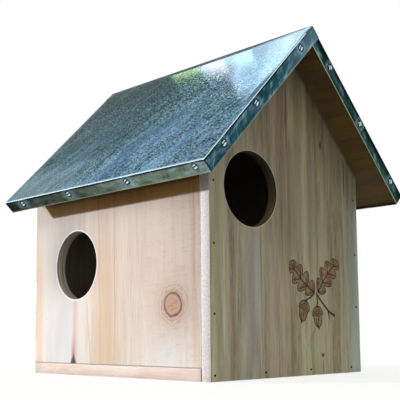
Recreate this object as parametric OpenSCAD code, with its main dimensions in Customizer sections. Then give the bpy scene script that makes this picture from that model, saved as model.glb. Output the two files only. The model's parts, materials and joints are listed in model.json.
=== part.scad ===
// Squirrel nest box: a pine box with two round entrances and a folded metal roof.
// X runs across the gable, Y from the front gable to the back, Z up. The origin lies under the
// middle of the roof, level with the underside of the floor board.

/* [Box] */
// Width across the outer faces of the side walls
body_w = 234; // [210:1:260]
// Depth from the face of the front gable to the back
body_d = 297; // [260:1:340]
// Height of the outer faces of the side walls, up to the roof boards
wall_h = 221.5; // [205:0.5:250]
// Thickness of the front gable
front_t = 12; // [10:0.5:18]
// Thickness of the side walls
wall_t = 12; // [10:0.5:18]
// Thickness of the rear gable and the clean-out door
rear_t = 12; // [11:0.5:18]
// Thickness of the floor board
floor_t = 12; // [10:0.5:18]

/* [Roof] */
// Slope of each side, in degrees
roof_pitch = 46; // [42:0.5:50]
// Length of each slope of the sheet, from the ridge to the fold at the eave
slope_len = 226; // [210:1:240]
// Thickness of the roof boards
roof_t = 12; // [10:0.5:18]
// Thickness of the metal sheet
sheet_t = 0.5; // [0.4:0.1:1]
// Depth of the flanges, square to the slope
flange_depth = 15; // [12:0.1:16]
// Reach of the roof in front of the front gable
front_overhang = 35; // [20:1:50]
// Reach of the roof behind the back
rear_overhang = 6; // [5.5:0.5:15]

/* [Entrances] */
// Diameter of the entrance in the front gable
front_hole_d = 76; // [60:1:80]
// From the left edge of the front gable to the centre of its entrance
front_hole_in = 58.5; // [56:0.5:120]
// Height of the centre of the front entrance
front_hole_h = 187; // [80:1:190]
// Diameter of the entrance in the left wall
side_hole_d = 76; // [60:1:80]
// From the back of the box to the centre of the side entrance
side_hole_in = 82; // [70:1:150]
// Height of the centre of the side entrance
side_hole_h = 121.5; // [80:0.5:150]
// Width of the bevel round each entrance
hole_bevel = 0.8; // [0.4:0.1:2]

/* [Clean-out door] */
// Gap all round the door
door_gap = 2; // [1.5:0.1:3]
// From the lowest edge of the eaves down to the foot of the rear gable
door_drop = 2.4; // [1:0.1:10]

// Thickness of the stop strips behind the head and the foot of the door
stop_t = 10; // [8:0.5:14]
// How far the stop strips reach behind the door
stop_lap = 8; // [5:0.5:12]
// How far the head stop reaches up behind the rear gable
stop_hold = 16; // [12:0.5:24]
// Diameter of the brads in the stop strips
stop_brad_d = 1.4; // [1.2:0.1:1.6]
// Length of those brads
stop_brad_len = 17; // [15:0.5:17.5]
// From each end of a stop strip to its nearest brad
stop_brad_in = 20; // [12:1:40]

/* [Hinges] */
// Height of each hinge
hinge_h = 30; // [24:1:40]
// Width of each leaf, from the pin to its edge
leaf_w = 10; // [9:0.1:10]
// Thickness of the leaves
leaf_t = 1; // [0.8:0.1:1.3]
// Outer diameter of the knuckles
knuckle_d = 4.4; // [4:0.1:4.8]
// Length of the middle knuckle
knuckle_len = 14; // [10:1:16]
// Gap between neighbouring knuckles
knuckle_gap = 0.3; // [0.2:0.05:0.6]
// Gap between the knuckles and the face behind them
knuckle_lift = 0.25; // [0.2:0.05:0.4]
// Diameter of the hinge pins
hinge_pin_d = 2; // [1.8:0.1:2.2]
// Clearance round the hinge pins
hinge_pin_fit = 0.05; // [0.02:0.01:0.09]
// Thickness of the heads of the hinge pins
hinge_pin_head_t = 0.8; // [0.5:0.1:1.2]
// From the foot or head of the door to the middle of the nearest hinge
hinge_in = 30; // [24:1:50]
// From the middle of a leaf to each of its screws
leaf_screw_out = 9; // [7:0.5:9]
// Length of the leaf screws
leaf_screw_len = 10; // [8:0.5:10.5]

/* [Turn button] */
// Width of the button
button_w = 10; // [8:0.5:12]
// Thickness of the button
button_t = 2; // [1.5:0.1:2.5]
// From the screw to the middle of the long end
button_long = 26; // [20:1:32]
// From the screw to the middle of the short end
button_short = 5; // [4:0.5:8]
// Thickness of the washer behind the button
washer_t = 0.8; // [0.5:0.1:1]
// Diameter of the washer
washer_d = 8; // [7:0.5:10]
// Diameter of the screw that the button turns on
button_screw_d = 3; // [2.5:0.1:3.5]
// Length of that screw, under its head
button_screw_len = 18; // [14:1:24]
// Diameter of the head of that screw
button_head_d = 6.5; // [5.5:0.1:8]
// Height of the head of that screw
button_head_t = 1.8; // [1.2:0.1:2]
// Clearance round that screw in the button and the washer
button_fit = 0.08; // [0.05:0.01:0.1]

/* [Hanger plates] */
// Distance between the two keyholes
hanger_pitch = 120; // [80:1:140]
// From the foot of the rear gable up to the middle of the plates
hanger_rise = 43; // [30:1:46]
// Width of each plate
hanger_w = 16; // [14:0.5:20]
// Length of each plate between the middles of its round ends
hanger_len = 32; // [30:1:40]
// Thickness of the plates
hanger_t = 1.2; // [0.8:0.1:2]
// Diameter of the round part of each keyhole
key_d = 9; // [7:0.5:10]
// Width of the slot of each keyhole
key_slot_w = 4.5; // [3.5:0.1:5]
// Length of the slot, from the middle of the round part
key_slot_len = 10; // [8:0.5:12]
// Depth of the pocket in the wood behind each keyhole
pocket_deep = 8; // [5:0.5:8.5]
// Room round the keyhole in that pocket
pocket_room = 1; // [0.5:0.1:1.5]
// Length of the plate screws
hanger_screw_len = 9; // [7:0.5:9]

/* [Nails and pins] */
// Diameter of the brads in the front gable
brad_d = 1.8; // [1.4:0.1:2.2]
// Length of those brads
brad_len = 34; // [28:1:40]
// Depth of their heads under the face
brad_sunk = 1; // [0.5:0.1:2]
// From the foot of the front gable to the lowest brads in the side walls
brad_foot = 67.5; // [50:0.5:90]
// From the top of the side walls down to the highest brads in them
brad_top = 30; // [20:1:60]
// From the right edge of the front gable to the last brad in the floor board
brad_right = 18; // [10:1:40]
// From the front gable to the first nail in each side of the floor board
floor_nail_front = 45; // [42:1:70]
// From the back to the last nail in each side of the floor board
floor_nail_back = 30; // [15:1:60]
// From the ridge to the highest roof nail in each slope of a gable
roof_nail_top = 36; // [34:1:60]
// From the foot of each slope of a gable to its lowest roof nail
roof_nail_foot = 12; // [8:1:30]
// From each end of the roof to the nearest ridge nail
ridge_nail_in = 20; // [18:1:40]
// Diameter of the floor and roof nails
nail_d = 2; // [1.6:0.1:2.4]
// Length of those nails
nail_len = 30; // [26:1:34]
// Diameter of their heads
nail_head_d = 4.5; // [3.5:0.1:5.5]
// Thickness of their heads
nail_head_t = 0.9; // [0.6:0.1:1.2]
// Diameter of the pins in the flanges
pin_d = 1.6; // [1.2:0.1:2]
// Length of those pins
pin_len = 15; // [12:1:20]
// Diameter of their heads
pin_head_d = 4.6; // [3.5:0.1:5]
// Height of their domed heads
pin_head_t = 0.8; // [0.5:0.1:1.2]
// From the face of the slope to the pins in the flanges
pin_deep = 6.2; // [6:0.1:8]
// From the front of the roof to the first pin in each eave
eave_pin_front = 16; // [16:0.5:40]
// From the back of the roof to the last pin in each eave
eave_pin_back = 33; // [16:0.5:60]
// From the ridge to the highest pin in each rake
rake_pin_top = 41; // [35:1:70]
// From the eave up to the lowest pin in each rake
rake_pin_foot = 31; // [20:1:60]
// Clearance round every nail, pin and screw in its hole
nail_fit = 0.1; // [0.05:0.01:0.2]

/* [Hidden] */
$fn = 48;

pine = [0.86, 0.76, 0.64];
shaded_pine = [0.58, 0.54, 0.42];
soffit_pine = [0.36, 0.26, 0.15];
galvanised = [0.42, 0.52, 0.58];
bright_steel = [0.75, 0.77, 0.78];
dark_steel = [0.3, 0.29, 0.27];

left = -1;
right = 1;

// How far the hand-set brads and pins stray from even spacing
left_brad_stray = [-4.5, 0, -2];
right_brad_stray = [4.5, 1, 1];
rake_pin_stray = 7;
left_rake_stray = [0, 17, 0];
right_rake_stray = [0, -1, 5];
eave_stray = [0, 2.5, 5.5, 0];

// Length of the roof and where its ends and the two faces of the box lie
roof_len = front_overhang + body_d + rear_overhang;
roof_front = -roof_len / 2;
roof_back = roof_len / 2;
front_y = roof_front + front_overhang;
back_y = front_y + body_d;

// Half the room between the side walls, and the middle of a side wall
half_w = body_w / 2;
half_in = half_w - wall_t;
wall_mid = half_w - wall_t / 2;

// Heights of the soffit at the middle, the ridge of the sheet and the lowest edge of the eaves
cover = sheet_t + roof_t;
soffit_peak = wall_h + half_w * tan(roof_pitch);
ridge_z = soffit_peak + cover / cos(roof_pitch);
eave_low = ridge_z - slope_len * sin(roof_pitch) - flange_depth * cos(roof_pitch);

// Door opening, and the door inside its gap
door_head = eave_low - door_drop;
door_low = floor_t + door_gap;
door_high = door_head - door_gap;
door_half = half_in - door_gap;

// Face of the stop strips that the door closes against, and where their brads go in
stop_face = back_y - rear_t;
head_brad_z = door_head + stop_hold / 2;
sill_h = door_gap + stop_lap;

// Axis of the hinges, midway in the gap on the right and clear of the back
hinge_x = half_in - door_gap / 2;
hinge_y = back_y + knuckle_lift + knuckle_d / 2;
lower_hinge_z = door_low + hinge_in;
upper_hinge_z = door_high - hinge_in;
leaf_screw_x = (knuckle_d / 2 + leaf_w) / 2;
leaf_screw_d = 2;
leaf_head_d = 4.2;

button_z = (door_low + door_high) / 2;

hanger_z = door_head + hanger_rise;
key_z = hanger_z - key_slot_len / 2;
hanger_screw_d = 2.5;
hanger_head_d = 5;

// Points of the nails, brads, pins and screws: length and blunt end, as shares of the shank
point_len = 1.5;
point_end = 0.25;

// Room past a point in its hole, and how far a cut runs on past a face
tip_room = 1;
bite = 1;

// Numbers spread evenly from first to last
function spread(first, last, count) = [for (i = [0 : count - 1]) first + (last - first) * i / (count - 1)];

// The same numbers, each moved by its own stray
function strayed(first, last, stray) = spread(first, last, len(stray)) + stray;

// A point of the roof, given down the slope from the ridge and in from the face of the sheet
function slope_x(side, down, deep) = side * (down * cos(roof_pitch) - deep * sin(roof_pitch));
function slope_z(down, deep) = ridge_z - down * sin(roof_pitch) - deep * cos(roof_pitch);
function slope_at(side, down, deep) = [slope_x(side, down, deep), slope_z(down, deep)];

// How far down one slope a depth in it meets a depth in the other slope
function meet(deep, other) = (other - deep * cos(2 * roof_pitch)) / sin(2 * roof_pitch);

// Height of the soffit at a distance from the middle
function under_soffit(x) = wall_h + (half_w - abs(x)) * tan(roof_pitch);

// Extrudes an outline drawn across the gable from one depth to another
module across(from_y, to_y) {
    translate([0, to_y, 0]) rotate([90, 0, 0]) linear_extrude(to_y - from_y) children();
}

module gable_outline(edge, foot) {
    polygon([
        [-edge, foot], [edge, foot], [edge, under_soffit(edge)],
        [0, soffit_peak], [-edge, under_soffit(edge)]
    ]);
}

// A flat-headed nail that points down from the face it is driven into
module nail(shank_d, shank_len, head_d, head_t) {
    tip = shank_d * point_len;
    translate([0, 0, -head_t]) cylinder(d = head_d, h = head_t);
    translate([0, 0, tip - shank_len]) cylinder(d = shank_d, h = shank_len - tip - head_t / 2);
    translate([0, 0, -shank_len]) cylinder(d1 = shank_d * point_end, d2 = shank_d, h = tip);
}

module nail_hole(shank_d, shank_len, head_d, head_t) {
    room = 2 * nail_fit;
    translate([0, 0, -head_t]) cylinder(d = head_d + room, h = head_t + bite);
    translate([0, 0, -shank_len - tip_room]) cylinder(d = shank_d + room, h = shank_len + tip_room);
}

// A headless brad, sunk under the face
module brad(shank_d, shank_len, sunk) {
    tip = shank_d * point_len;
    translate([0, 0, tip - shank_len - sunk]) cylinder(d = shank_d, h = shank_len - tip);
    translate([0, 0, -shank_len - sunk]) cylinder(d1 = shank_d * point_end, d2 = shank_d, h = tip);
}

module brad_hole(shank_d, shank_len, sunk) {
    reach = shank_len + sunk + tip_room;
    translate([0, 0, -reach]) cylinder(d = shank_d + 2 * nail_fit, h = reach + bite);
}

// A pin with a domed head, which stands on the sheet
module sheet_pin() {
    dome_r = (pow(pin_head_d / 2, 2) + pow(pin_head_t, 2)) / (2 * pin_head_t);
    tip = pin_d * point_len;
    intersection() {
        translate([0, 0, pin_head_t - dome_r]) sphere(r = dome_r);
        cylinder(r = dome_r, h = pin_head_t + bite);
    }
    translate([0, 0, tip - pin_len]) cylinder(d = pin_d, h = pin_len - tip + pin_head_t / 4);
    translate([0, 0, -pin_len]) cylinder(d1 = pin_d * point_end, d2 = pin_d, h = tip);
}

module sheet_pin_hole() {
    reach = pin_len + tip_room;
    translate([0, 0, -reach]) cylinder(d = pin_d + 2 * nail_fit, h = reach + bite);
}

// A countersunk screw with its head level with the face at zero
module wood_screw(shank_d, shank_len, head_d) {
    sink = (head_d - shank_d) / 2;
    slot_w = head_d / 6;
    slot_deep = sink * 0.7;
    tip = shank_d * point_len;
    difference() {
        union() {
            translate([0, 0, -sink]) cylinder(d1 = shank_d, d2 = head_d, h = sink);
            translate([0, 0, tip - shank_len]) cylinder(d = shank_d, h = shank_len - tip - sink / 2);
            translate([0, 0, -shank_len]) cylinder(d1 = shank_d * point_end, d2 = shank_d, h = tip);
        }
        for (turn = [0, 90])
            rotate([0, 0, turn]) translate([-head_d / 3, -slot_w / 2, -slot_deep])
                cube([head_d * 2 / 3, slot_w, slot_deep + bite]);
    }
}

module wood_screw_hole(shank_d, shank_len, head_d) {
    sink = (head_d - shank_d) / 2 + nail_fit;
    room = 2 * nail_fit;
    translate([0, 0, -sink]) cylinder(d1 = shank_d + room, d2 = head_d + room, h = sink);
    cylinder(d = head_d + room, h = bite);
    translate([0, 0, -shank_len - tip_room]) cylinder(d = shank_d + room, h = shank_len + tip_room);
}

// Places of the fasteners: each turns its children so that they point out of the wood
module at_front_wall_brads() {
    for (side = [left, right]) {
        stray = side == left ? left_brad_stray : right_brad_stray;
        for (z = strayed(brad_foot, wall_h - brad_top, stray))
            translate([side * wall_mid, front_y, z]) rotate([90, 0, 0]) children();
    }
}

module at_front_floor_brads() {
    for (x = spread(-wall_mid, half_w - brad_right, 4))
        translate([x, front_y, floor_t / 2]) rotate([90, 0, 0]) children();
}

module at_floor_nails() {
    first = front_y + front_t + floor_nail_front;
    for (side = [left, right], y = spread(first, back_y - floor_nail_back, 4))
        translate([side * wall_mid, y, 0]) rotate([180, 0, 0]) children();
}

module at_gable_roof_nails(y, edge) {
    last = edge / cos(roof_pitch) - roof_nail_foot;
    for (side = [left, right], down = spread(roof_nail_top, last, 3))
        translate([slope_x(side, down, sheet_t), y, slope_z(down, sheet_t)])
            rotate([0, side * roof_pitch, 0]) children();
}

module at_front_roof_nails() {
    at_gable_roof_nails(front_y + front_t / 2, half_w) children();
}

module at_rear_roof_nails() {
    at_gable_roof_nails(back_y - rear_t / 2, half_in) children();
}

module at_ridge_nails() {
    down = meet(cover, sheet_t + roof_t / 2);
    for (y = spread(roof_front + ridge_nail_in, roof_back - ridge_nail_in, 4))
        translate([slope_x(left, down, sheet_t), y, slope_z(down, sheet_t)])
            rotate([0, left * roof_pitch, 0]) children();
}

module at_eave_pins(side) {
    for (y = strayed(roof_front + eave_pin_front, roof_back - eave_pin_back, eave_stray))
        translate([slope_x(side, slope_len, pin_deep), y, slope_z(slope_len, pin_deep)])
            rotate([0, side * (90 + roof_pitch), 0]) children();
}

module at_rake_pins(y, turn) {
    for (side = [left, right]) {
        top = rake_pin_top + side * rake_pin_stray;
        stray = side == left ? left_rake_stray : right_rake_stray;
        for (down = strayed(top, slope_len - rake_pin_foot, stray))
            translate([slope_x(side, down, pin_deep), y, slope_z(down, pin_deep)])
                rotate([turn, 0, 0]) children();
    }
}

module at_front_rake_pins() {
    at_rake_pins(roof_front, 90) children();
}

module at_rear_rake_pins() {
    at_rake_pins(roof_back, -90) children();
}

module at_head_brads() {
    for (x = spread(stop_brad_in - half_in, half_in - stop_brad_in, 3))
        translate([x, stop_face - stop_t, head_brad_z]) rotate([90, 0, 0]) children();
}

module at_sill_brads() {
    for (x = spread(stop_brad_in - half_in, half_in - stop_brad_in, 3))
        translate([x, stop_face - stop_t / 2, floor_t + sill_h]) children();
}

module at_leaf_screws(side) {
    for (z = [lower_hinge_z, upper_hinge_z], out = [-leaf_screw_out, leaf_screw_out])
        translate([hinge_x + side * leaf_screw_x, back_y + leaf_t, z + out])
            rotate([-90, 0, 0]) children();
}

module at_turn_button() {
    translate([-wall_mid, back_y, button_z]) rotate([-90, 0, 0]) children();
}

module at_hanger(side) {
    translate([side * hanger_pitch / 2, back_y, 0]) rotate([-90, 0, 0]) children();
}

module at_hanger_screws() {
    for (side = [left, right], end = [-1, 1])
        translate([side * hanger_pitch / 2, back_y + hanger_t, hanger_z + end * hanger_len / 2])
            rotate([-90, 0, 0]) children();
}

// A round entrance along local Z, from the outer face at zero inwards, with both rims bevelled
module entrance_cut(hole_d, wall) {
    reach = wall + 2 * bite;
    translate([0, 0, -wall - bite]) cylinder(d = hole_d, h = reach, $fn = 96);
    for (rim = [0, 1])
        mirror([0, 0, rim]) translate([0, 0, rim * wall - hole_bevel])
            cylinder(d1 = hole_d, d2 = hole_d + 4 * hole_bevel, h = 2 * hole_bevel, $fn = 96);
}

module front_gable() {
    color(shaded_pine) difference() {
        across(front_y, front_y + front_t) gable_outline(half_w, 0);
        translate([front_hole_in - half_w, front_y, front_hole_h]) rotate([90, 0, 0])
            entrance_cut(front_hole_d, front_t);
        at_front_wall_brads() brad_hole(brad_d, brad_len, brad_sunk);
        at_front_floor_brads() brad_hole(brad_d, brad_len, brad_sunk);
        at_front_roof_nails() nail_hole(nail_d, nail_len, nail_head_d, nail_head_t);
    }
}

module side_wall(side) {
    difference() {
        across(front_y + front_t, back_y) polygon([
            [side * half_w, floor_t], [side * half_in, floor_t],
            [side * half_in, under_soffit(half_in)], [side * half_w, wall_h]
        ]);
        at_front_wall_brads() brad_hole(brad_d, brad_len, brad_sunk);
        at_floor_nails() nail_hole(nail_d, nail_len, nail_head_d, nail_head_t);
    }
}

module left_wall() {
    color(pine) difference() {
        side_wall(left);
        translate([-half_w, back_y - side_hole_in, side_hole_h]) rotate([0, -90, 0])
            entrance_cut(side_hole_d, wall_t);
        at_turn_button() wood_screw_hole(button_screw_d, button_screw_len, button_screw_d);
    }
}

module right_wall() {
    color(pine) difference() {
        side_wall(right);
        at_leaf_screws(right) wood_screw_hole(leaf_screw_d, leaf_screw_len, leaf_head_d);
    }
}

module floor_board() {
    color(pine) difference() {
        translate([-half_w, front_y + front_t, 0]) cube([body_w, body_d - front_t, floor_t]);
        at_front_floor_brads() brad_hole(brad_d, brad_len, brad_sunk);
        at_floor_nails() nail_hole(nail_d, nail_len, nail_head_d, nail_head_t);
        at_sill_brads() brad_hole(stop_brad_d, stop_brad_len, 0);
    }
}

// The keyhole, drawn with local Y pointing down
module keyhole_outline() {
    translate([0, -key_z]) circle(d = key_d);
    translate([-key_slot_w / 2, -key_z - key_slot_len]) square([key_slot_w, key_slot_len]);
    translate([0, -key_z - key_slot_len]) circle(d = key_slot_w);
}

// Room for the head of the hanging screw, as wide as the round part all the way up
module key_pocket() {
    wide = key_d + 2 * pocket_room;
    translate([0, 0, -pocket_deep]) linear_extrude(pocket_deep + bite) {
        translate([0, -key_z]) circle(d = wide);
        translate([-wide / 2, -key_z - key_slot_len]) square([wide, key_slot_len]);
        translate([0, -key_z - key_slot_len]) circle(d = wide);
    }
}

module rear_gable() {
    color(pine) difference() {
        across(back_y - rear_t, back_y) gable_outline(half_in, door_head);
        at_rear_roof_nails() nail_hole(nail_d, nail_len, nail_head_d, nail_head_t);
        at_head_brads() brad_hole(stop_brad_d, stop_brad_len, 0);
        for (side = [left, right]) at_hanger(side) key_pocket();
        at_hanger_screws() wood_screw_hole(hanger_screw_d, hanger_screw_len, hanger_head_d);
    }
}

module clean_out_door() {
    color(pine) difference() {
        translate([-door_half, back_y - rear_t, door_low])
            cube([2 * door_half, rear_t, door_high - door_low]);
        at_leaf_screws(left) wood_screw_hole(leaf_screw_d, leaf_screw_len, leaf_head_d);
    }
}

// Strips inside the box that the door closes against, which also cover its gaps
module head_stop() {
    color(pine) difference() {
        translate([-half_in, stop_face - stop_t, door_high - stop_lap])
            cube([2 * half_in, stop_t, stop_lap + door_gap + stop_hold]);
        at_head_brads() brad_hole(stop_brad_d, stop_brad_len, 0);
    }
}

module sill_stop() {
    color(pine) difference() {
        translate([-half_in, stop_face - stop_t, floor_t]) cube([2 * half_in, stop_t, sill_h]);
        at_sill_brads() brad_hole(stop_brad_d, stop_brad_len, 0);
    }
}

module stop_brads() {
    color(dark_steel) {
        at_head_brads() brad(stop_brad_d, stop_brad_len, 0);
        at_sill_brads() brad(stop_brad_d, stop_brad_len, 0);
    }
}

// The left roof board runs over the top end of the right one
module left_roof_board() {
    color(soffit_pine) difference() {
        across(roof_front + sheet_t, roof_back - sheet_t) polygon([
            slope_at(left, meet(sheet_t, sheet_t), sheet_t),
            slope_at(left, slope_len - sheet_t, sheet_t),
            slope_at(left, slope_len - sheet_t, cover),
            slope_at(left, meet(cover, sheet_t), cover)
        ]);
        roof_board_holes();
    }
}

module right_roof_board() {
    color(soffit_pine) difference() {
        across(roof_front + sheet_t, roof_back - sheet_t) polygon([
            slope_at(right, meet(sheet_t, cover), sheet_t),
            slope_at(right, slope_len - sheet_t, sheet_t),
            slope_at(right, slope_len - sheet_t, cover),
            slope_at(right, meet(cover, cover), cover)
        ]);
        roof_board_holes();
    }
}

module roof_board_holes() {
    at_front_roof_nails() nail_hole(nail_d, nail_len, nail_head_d, nail_head_t);
    at_rear_roof_nails() nail_hole(nail_d, nail_len, nail_head_d, nail_head_t);
    at_ridge_nails() nail_hole(nail_d, nail_len, nail_head_d, nail_head_t);
    flange_pin_holes();
}

module flange_pin_holes() {
    at_eave_pins(left) sheet_pin_hole();
    at_eave_pins(right) sheet_pin_hole();
    at_front_rake_pins() sheet_pin_hole();
    at_rear_rake_pins() sheet_pin_hole();
}

// The sheet seen along the ridge: two slopes, and a flange folded down at each eave
module sheet_fold_outline() {
    polygon([
        slope_at(left, slope_len, flange_depth), slope_at(left, slope_len, 0), [0, ridge_z],
        slope_at(right, slope_len, 0), slope_at(right, slope_len, flange_depth),
        slope_at(right, slope_len - sheet_t, flange_depth), slope_at(right, slope_len - sheet_t, sheet_t),
        slope_at(right, meet(sheet_t, sheet_t), sheet_t), slope_at(left, slope_len - sheet_t, sheet_t),
        slope_at(left, slope_len - sheet_t, flange_depth)
    ]);
}

// The flange that covers the ends of both roof boards
module rake_flange_outline() {
    polygon([
        slope_at(left, slope_len, flange_depth), slope_at(left, slope_len, 0), [0, ridge_z],
        slope_at(right, slope_len, 0), slope_at(right, slope_len, flange_depth),
        slope_at(right, meet(flange_depth, flange_depth), flange_depth)
    ]);
}

// The end of the left flange, where it laps the right one at the peak
module rake_lap_outline() {
    polygon([
        [0, ridge_z], slope_at(right, meet(0, flange_depth), 0),
        slope_at(right, meet(flange_depth, flange_depth), flange_depth)
    ]);
}

module roof_sheet() {
    color(galvanised) difference() {
        union() {
            across(roof_front, roof_back) sheet_fold_outline();
            across(roof_front, roof_front + sheet_t) rake_flange_outline();
            across(roof_back - sheet_t, roof_back) rake_flange_outline();
            across(roof_front - sheet_t, roof_front) rake_lap_outline();
            across(roof_back, roof_back + sheet_t) rake_lap_outline();
        }
        flange_pin_holes();
    }
}

module left_eave_pins() {
    color(bright_steel) at_eave_pins(left) sheet_pin();
}

module right_eave_pins() {
    color(bright_steel) at_eave_pins(right) sheet_pin();
}

module front_rake_pins() {
    color(bright_steel) at_front_rake_pins() sheet_pin();
}

module rear_rake_pins() {
    color(bright_steel) at_rear_rake_pins() sheet_pin();
}

module front_wall_brads() {
    color(dark_steel) at_front_wall_brads() brad(brad_d, brad_len, brad_sunk);
}

module front_floor_brads() {
    color(dark_steel) at_front_floor_brads() brad(brad_d, brad_len, brad_sunk);
}

module floor_nails() {
    color(dark_steel) at_floor_nails() nail(nail_d, nail_len, nail_head_d, nail_head_t);
}

module front_roof_nails() {
    color(dark_steel) at_front_roof_nails() nail(nail_d, nail_len, nail_head_d, nail_head_t);
}

module rear_roof_nails() {
    color(dark_steel) at_rear_roof_nails() nail(nail_d, nail_len, nail_head_d, nail_head_t);
}

module ridge_nails() {
    color(dark_steel) at_ridge_nails() nail(nail_d, nail_len, nail_head_d, nail_head_t);
}

// Part of a leaf's plate, between two distances from the pin and two heights from the middle
module leaf_plate(z, side, from_out, from_z, to_z) {
    start = side == right ? from_out : -leaf_w;
    translate([hinge_x + start, back_y, z + from_z]) cube([leaf_w - from_out, leaf_t, to_z - from_z]);
}

// One leaf of a hinge: a plate on the back and its knuckles round the pin
module hinge_leaf(z, side, knuckle_spans) {
    bore_d = hinge_pin_d + 2 * hinge_pin_fit;
    color(bright_steel) difference() {
        union() {
            for (span = knuckle_spans) {
                translate([hinge_x, hinge_y, z + span[0]]) cylinder(d = knuckle_d, h = span[1] - span[0]);
                leaf_plate(z, side, 0, span[0], span[1]);
            }
            leaf_plate(z, side, knuckle_d / 2 + knuckle_gap, -hinge_h / 2, hinge_h / 2);
        }
        translate([hinge_x, hinge_y, z - hinge_h]) cylinder(d = bore_d, h = 2 * hinge_h);
        at_leaf_screws(side) wood_screw_hole(leaf_screw_d, leaf_screw_len, leaf_head_d);
    }
}

module wall_leaf(z) {
    inner = knuckle_len / 2 + knuckle_gap;
    hinge_leaf(z, right, [[-hinge_h / 2, -inner], [inner, hinge_h / 2]]);
}

module door_leaf(z) {
    hinge_leaf(z, left, [[-knuckle_len / 2, knuckle_len / 2]]);
}

module hinge_pin(z) {
    color(bright_steel) translate([hinge_x, hinge_y, z]) {
        translate([0, 0, -hinge_h / 2]) cylinder(d = hinge_pin_d, h = hinge_h);
        for (end = [0, 1])
            mirror([0, 0, end]) translate([0, 0, hinge_h / 2])
                cylinder(d1 = hinge_pin_d * 1.5, d2 = hinge_pin_d, h = hinge_pin_head_t);
    }
}

module upper_hinge_wall_leaf() {
    wall_leaf(upper_hinge_z);
}

module upper_hinge_door_leaf() {
    door_leaf(upper_hinge_z);
}

module upper_hinge_pin() {
    hinge_pin(upper_hinge_z);
}

module lower_hinge_wall_leaf() {
    wall_leaf(lower_hinge_z);
}

module lower_hinge_door_leaf() {
    door_leaf(lower_hinge_z);
}

module lower_hinge_pin() {
    hinge_pin(lower_hinge_z);
}

module wall_leaf_screws() {
    color(bright_steel) at_leaf_screws(right) wood_screw(leaf_screw_d, leaf_screw_len, leaf_head_d);
}

module door_leaf_screws() {
    color(bright_steel) at_leaf_screws(left) wood_screw(leaf_screw_d, leaf_screw_len, leaf_head_d);
}

// The button hangs straight down, clear of the door, and turns across to lock it
module turn_button() {
    color(bright_steel) at_turn_button() translate([0, 0, washer_t]) difference() {
        linear_extrude(button_t) {
            translate([0, button_long]) circle(d = button_w);
            translate([0, -button_short]) circle(d = button_w);
            translate([-button_w / 2, -button_short]) square([button_w, button_long + button_short]);
        }
        translate([0, 0, -bite]) cylinder(d = button_screw_d + 2 * button_fit, h = button_t + 2 * bite);
    }
}

module turn_button_washer() {
    color(bright_steel) at_turn_button() difference() {
        cylinder(d = washer_d, h = washer_t);
        translate([0, 0, -bite]) cylinder(d = button_screw_d + 2 * button_fit, h = washer_t + 2 * bite);
    }
}

module turn_button_screw() {
    seat = washer_t + button_t + button_fit;
    tip = button_screw_d * point_len;
    slot_w = button_head_d / 7;
    shank_len = button_screw_len - tip + seat + button_head_t / 4;
    color(bright_steel) at_turn_button() difference() {
        union() {
            translate([0, 0, seat]) cylinder(d1 = button_head_d, d2 = button_head_d * 0.8, h = button_head_t);
            translate([0, 0, tip - button_screw_len]) cylinder(d = button_screw_d, h = shank_len);
            translate([0, 0, -button_screw_len])
                cylinder(d1 = button_screw_d * point_end, d2 = button_screw_d, h = tip);
        }
        for (turn = [0, 90])
            rotate([0, 0, turn]) translate([-button_head_d / 3, -slot_w / 2, seat + button_head_t / 2])
                cube([button_head_d * 2 / 3, slot_w, button_head_t]);
    }
}

module hanger_plate(side) {
    color(bright_steel) difference() {
        at_hanger(side) linear_extrude(hanger_t) difference() {
            union() {
                for (end = [-1, 1])
                    translate([0, -hanger_z + end * hanger_len / 2]) circle(d = hanger_w);
                translate([-hanger_w / 2, -hanger_z - hanger_len / 2]) square([hanger_w, hanger_len]);
            }
            keyhole_outline();
        }
        at_hanger_screws() wood_screw_hole(hanger_screw_d, hanger_screw_len, hanger_head_d);
    }
}

module left_hanger_plate() {
    hanger_plate(left);
}

module right_hanger_plate() {
    hanger_plate(right);
}

module hanger_screws() {
    color(bright_steel) at_hanger_screws() wood_screw(hanger_screw_d, hanger_screw_len, hanger_head_d);
}

front_gable();
left_wall();
right_wall();
floor_board();
rear_gable();
clean_out_door();
left_roof_board();
right_roof_board();
roof_sheet();
left_eave_pins();
right_eave_pins();
front_rake_pins();
rear_rake_pins();
front_wall_brads();
front_floor_brads();
floor_nails();
front_roof_nails();
rear_roof_nails();
ridge_nails();
upper_hinge_wall_leaf();
upper_hinge_door_leaf();
upper_hinge_pin();
lower_hinge_wall_leaf();
lower_hinge_door_leaf();
lower_hinge_pin();
wall_leaf_screws();
door_leaf_screws();
turn_button();
turn_button_washer();
turn_button_screw();
head_stop();
sill_stop();
stop_brads();
left_hanger_plate();
right_hanger_plate();
hanger_screws();
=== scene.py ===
"""Squirrel nest box: the looks of its boards, folded metal roof and fittings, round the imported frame."""
import json
import math

import bmesh
import bpy
from mathutils import Matrix, Vector, noise

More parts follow.
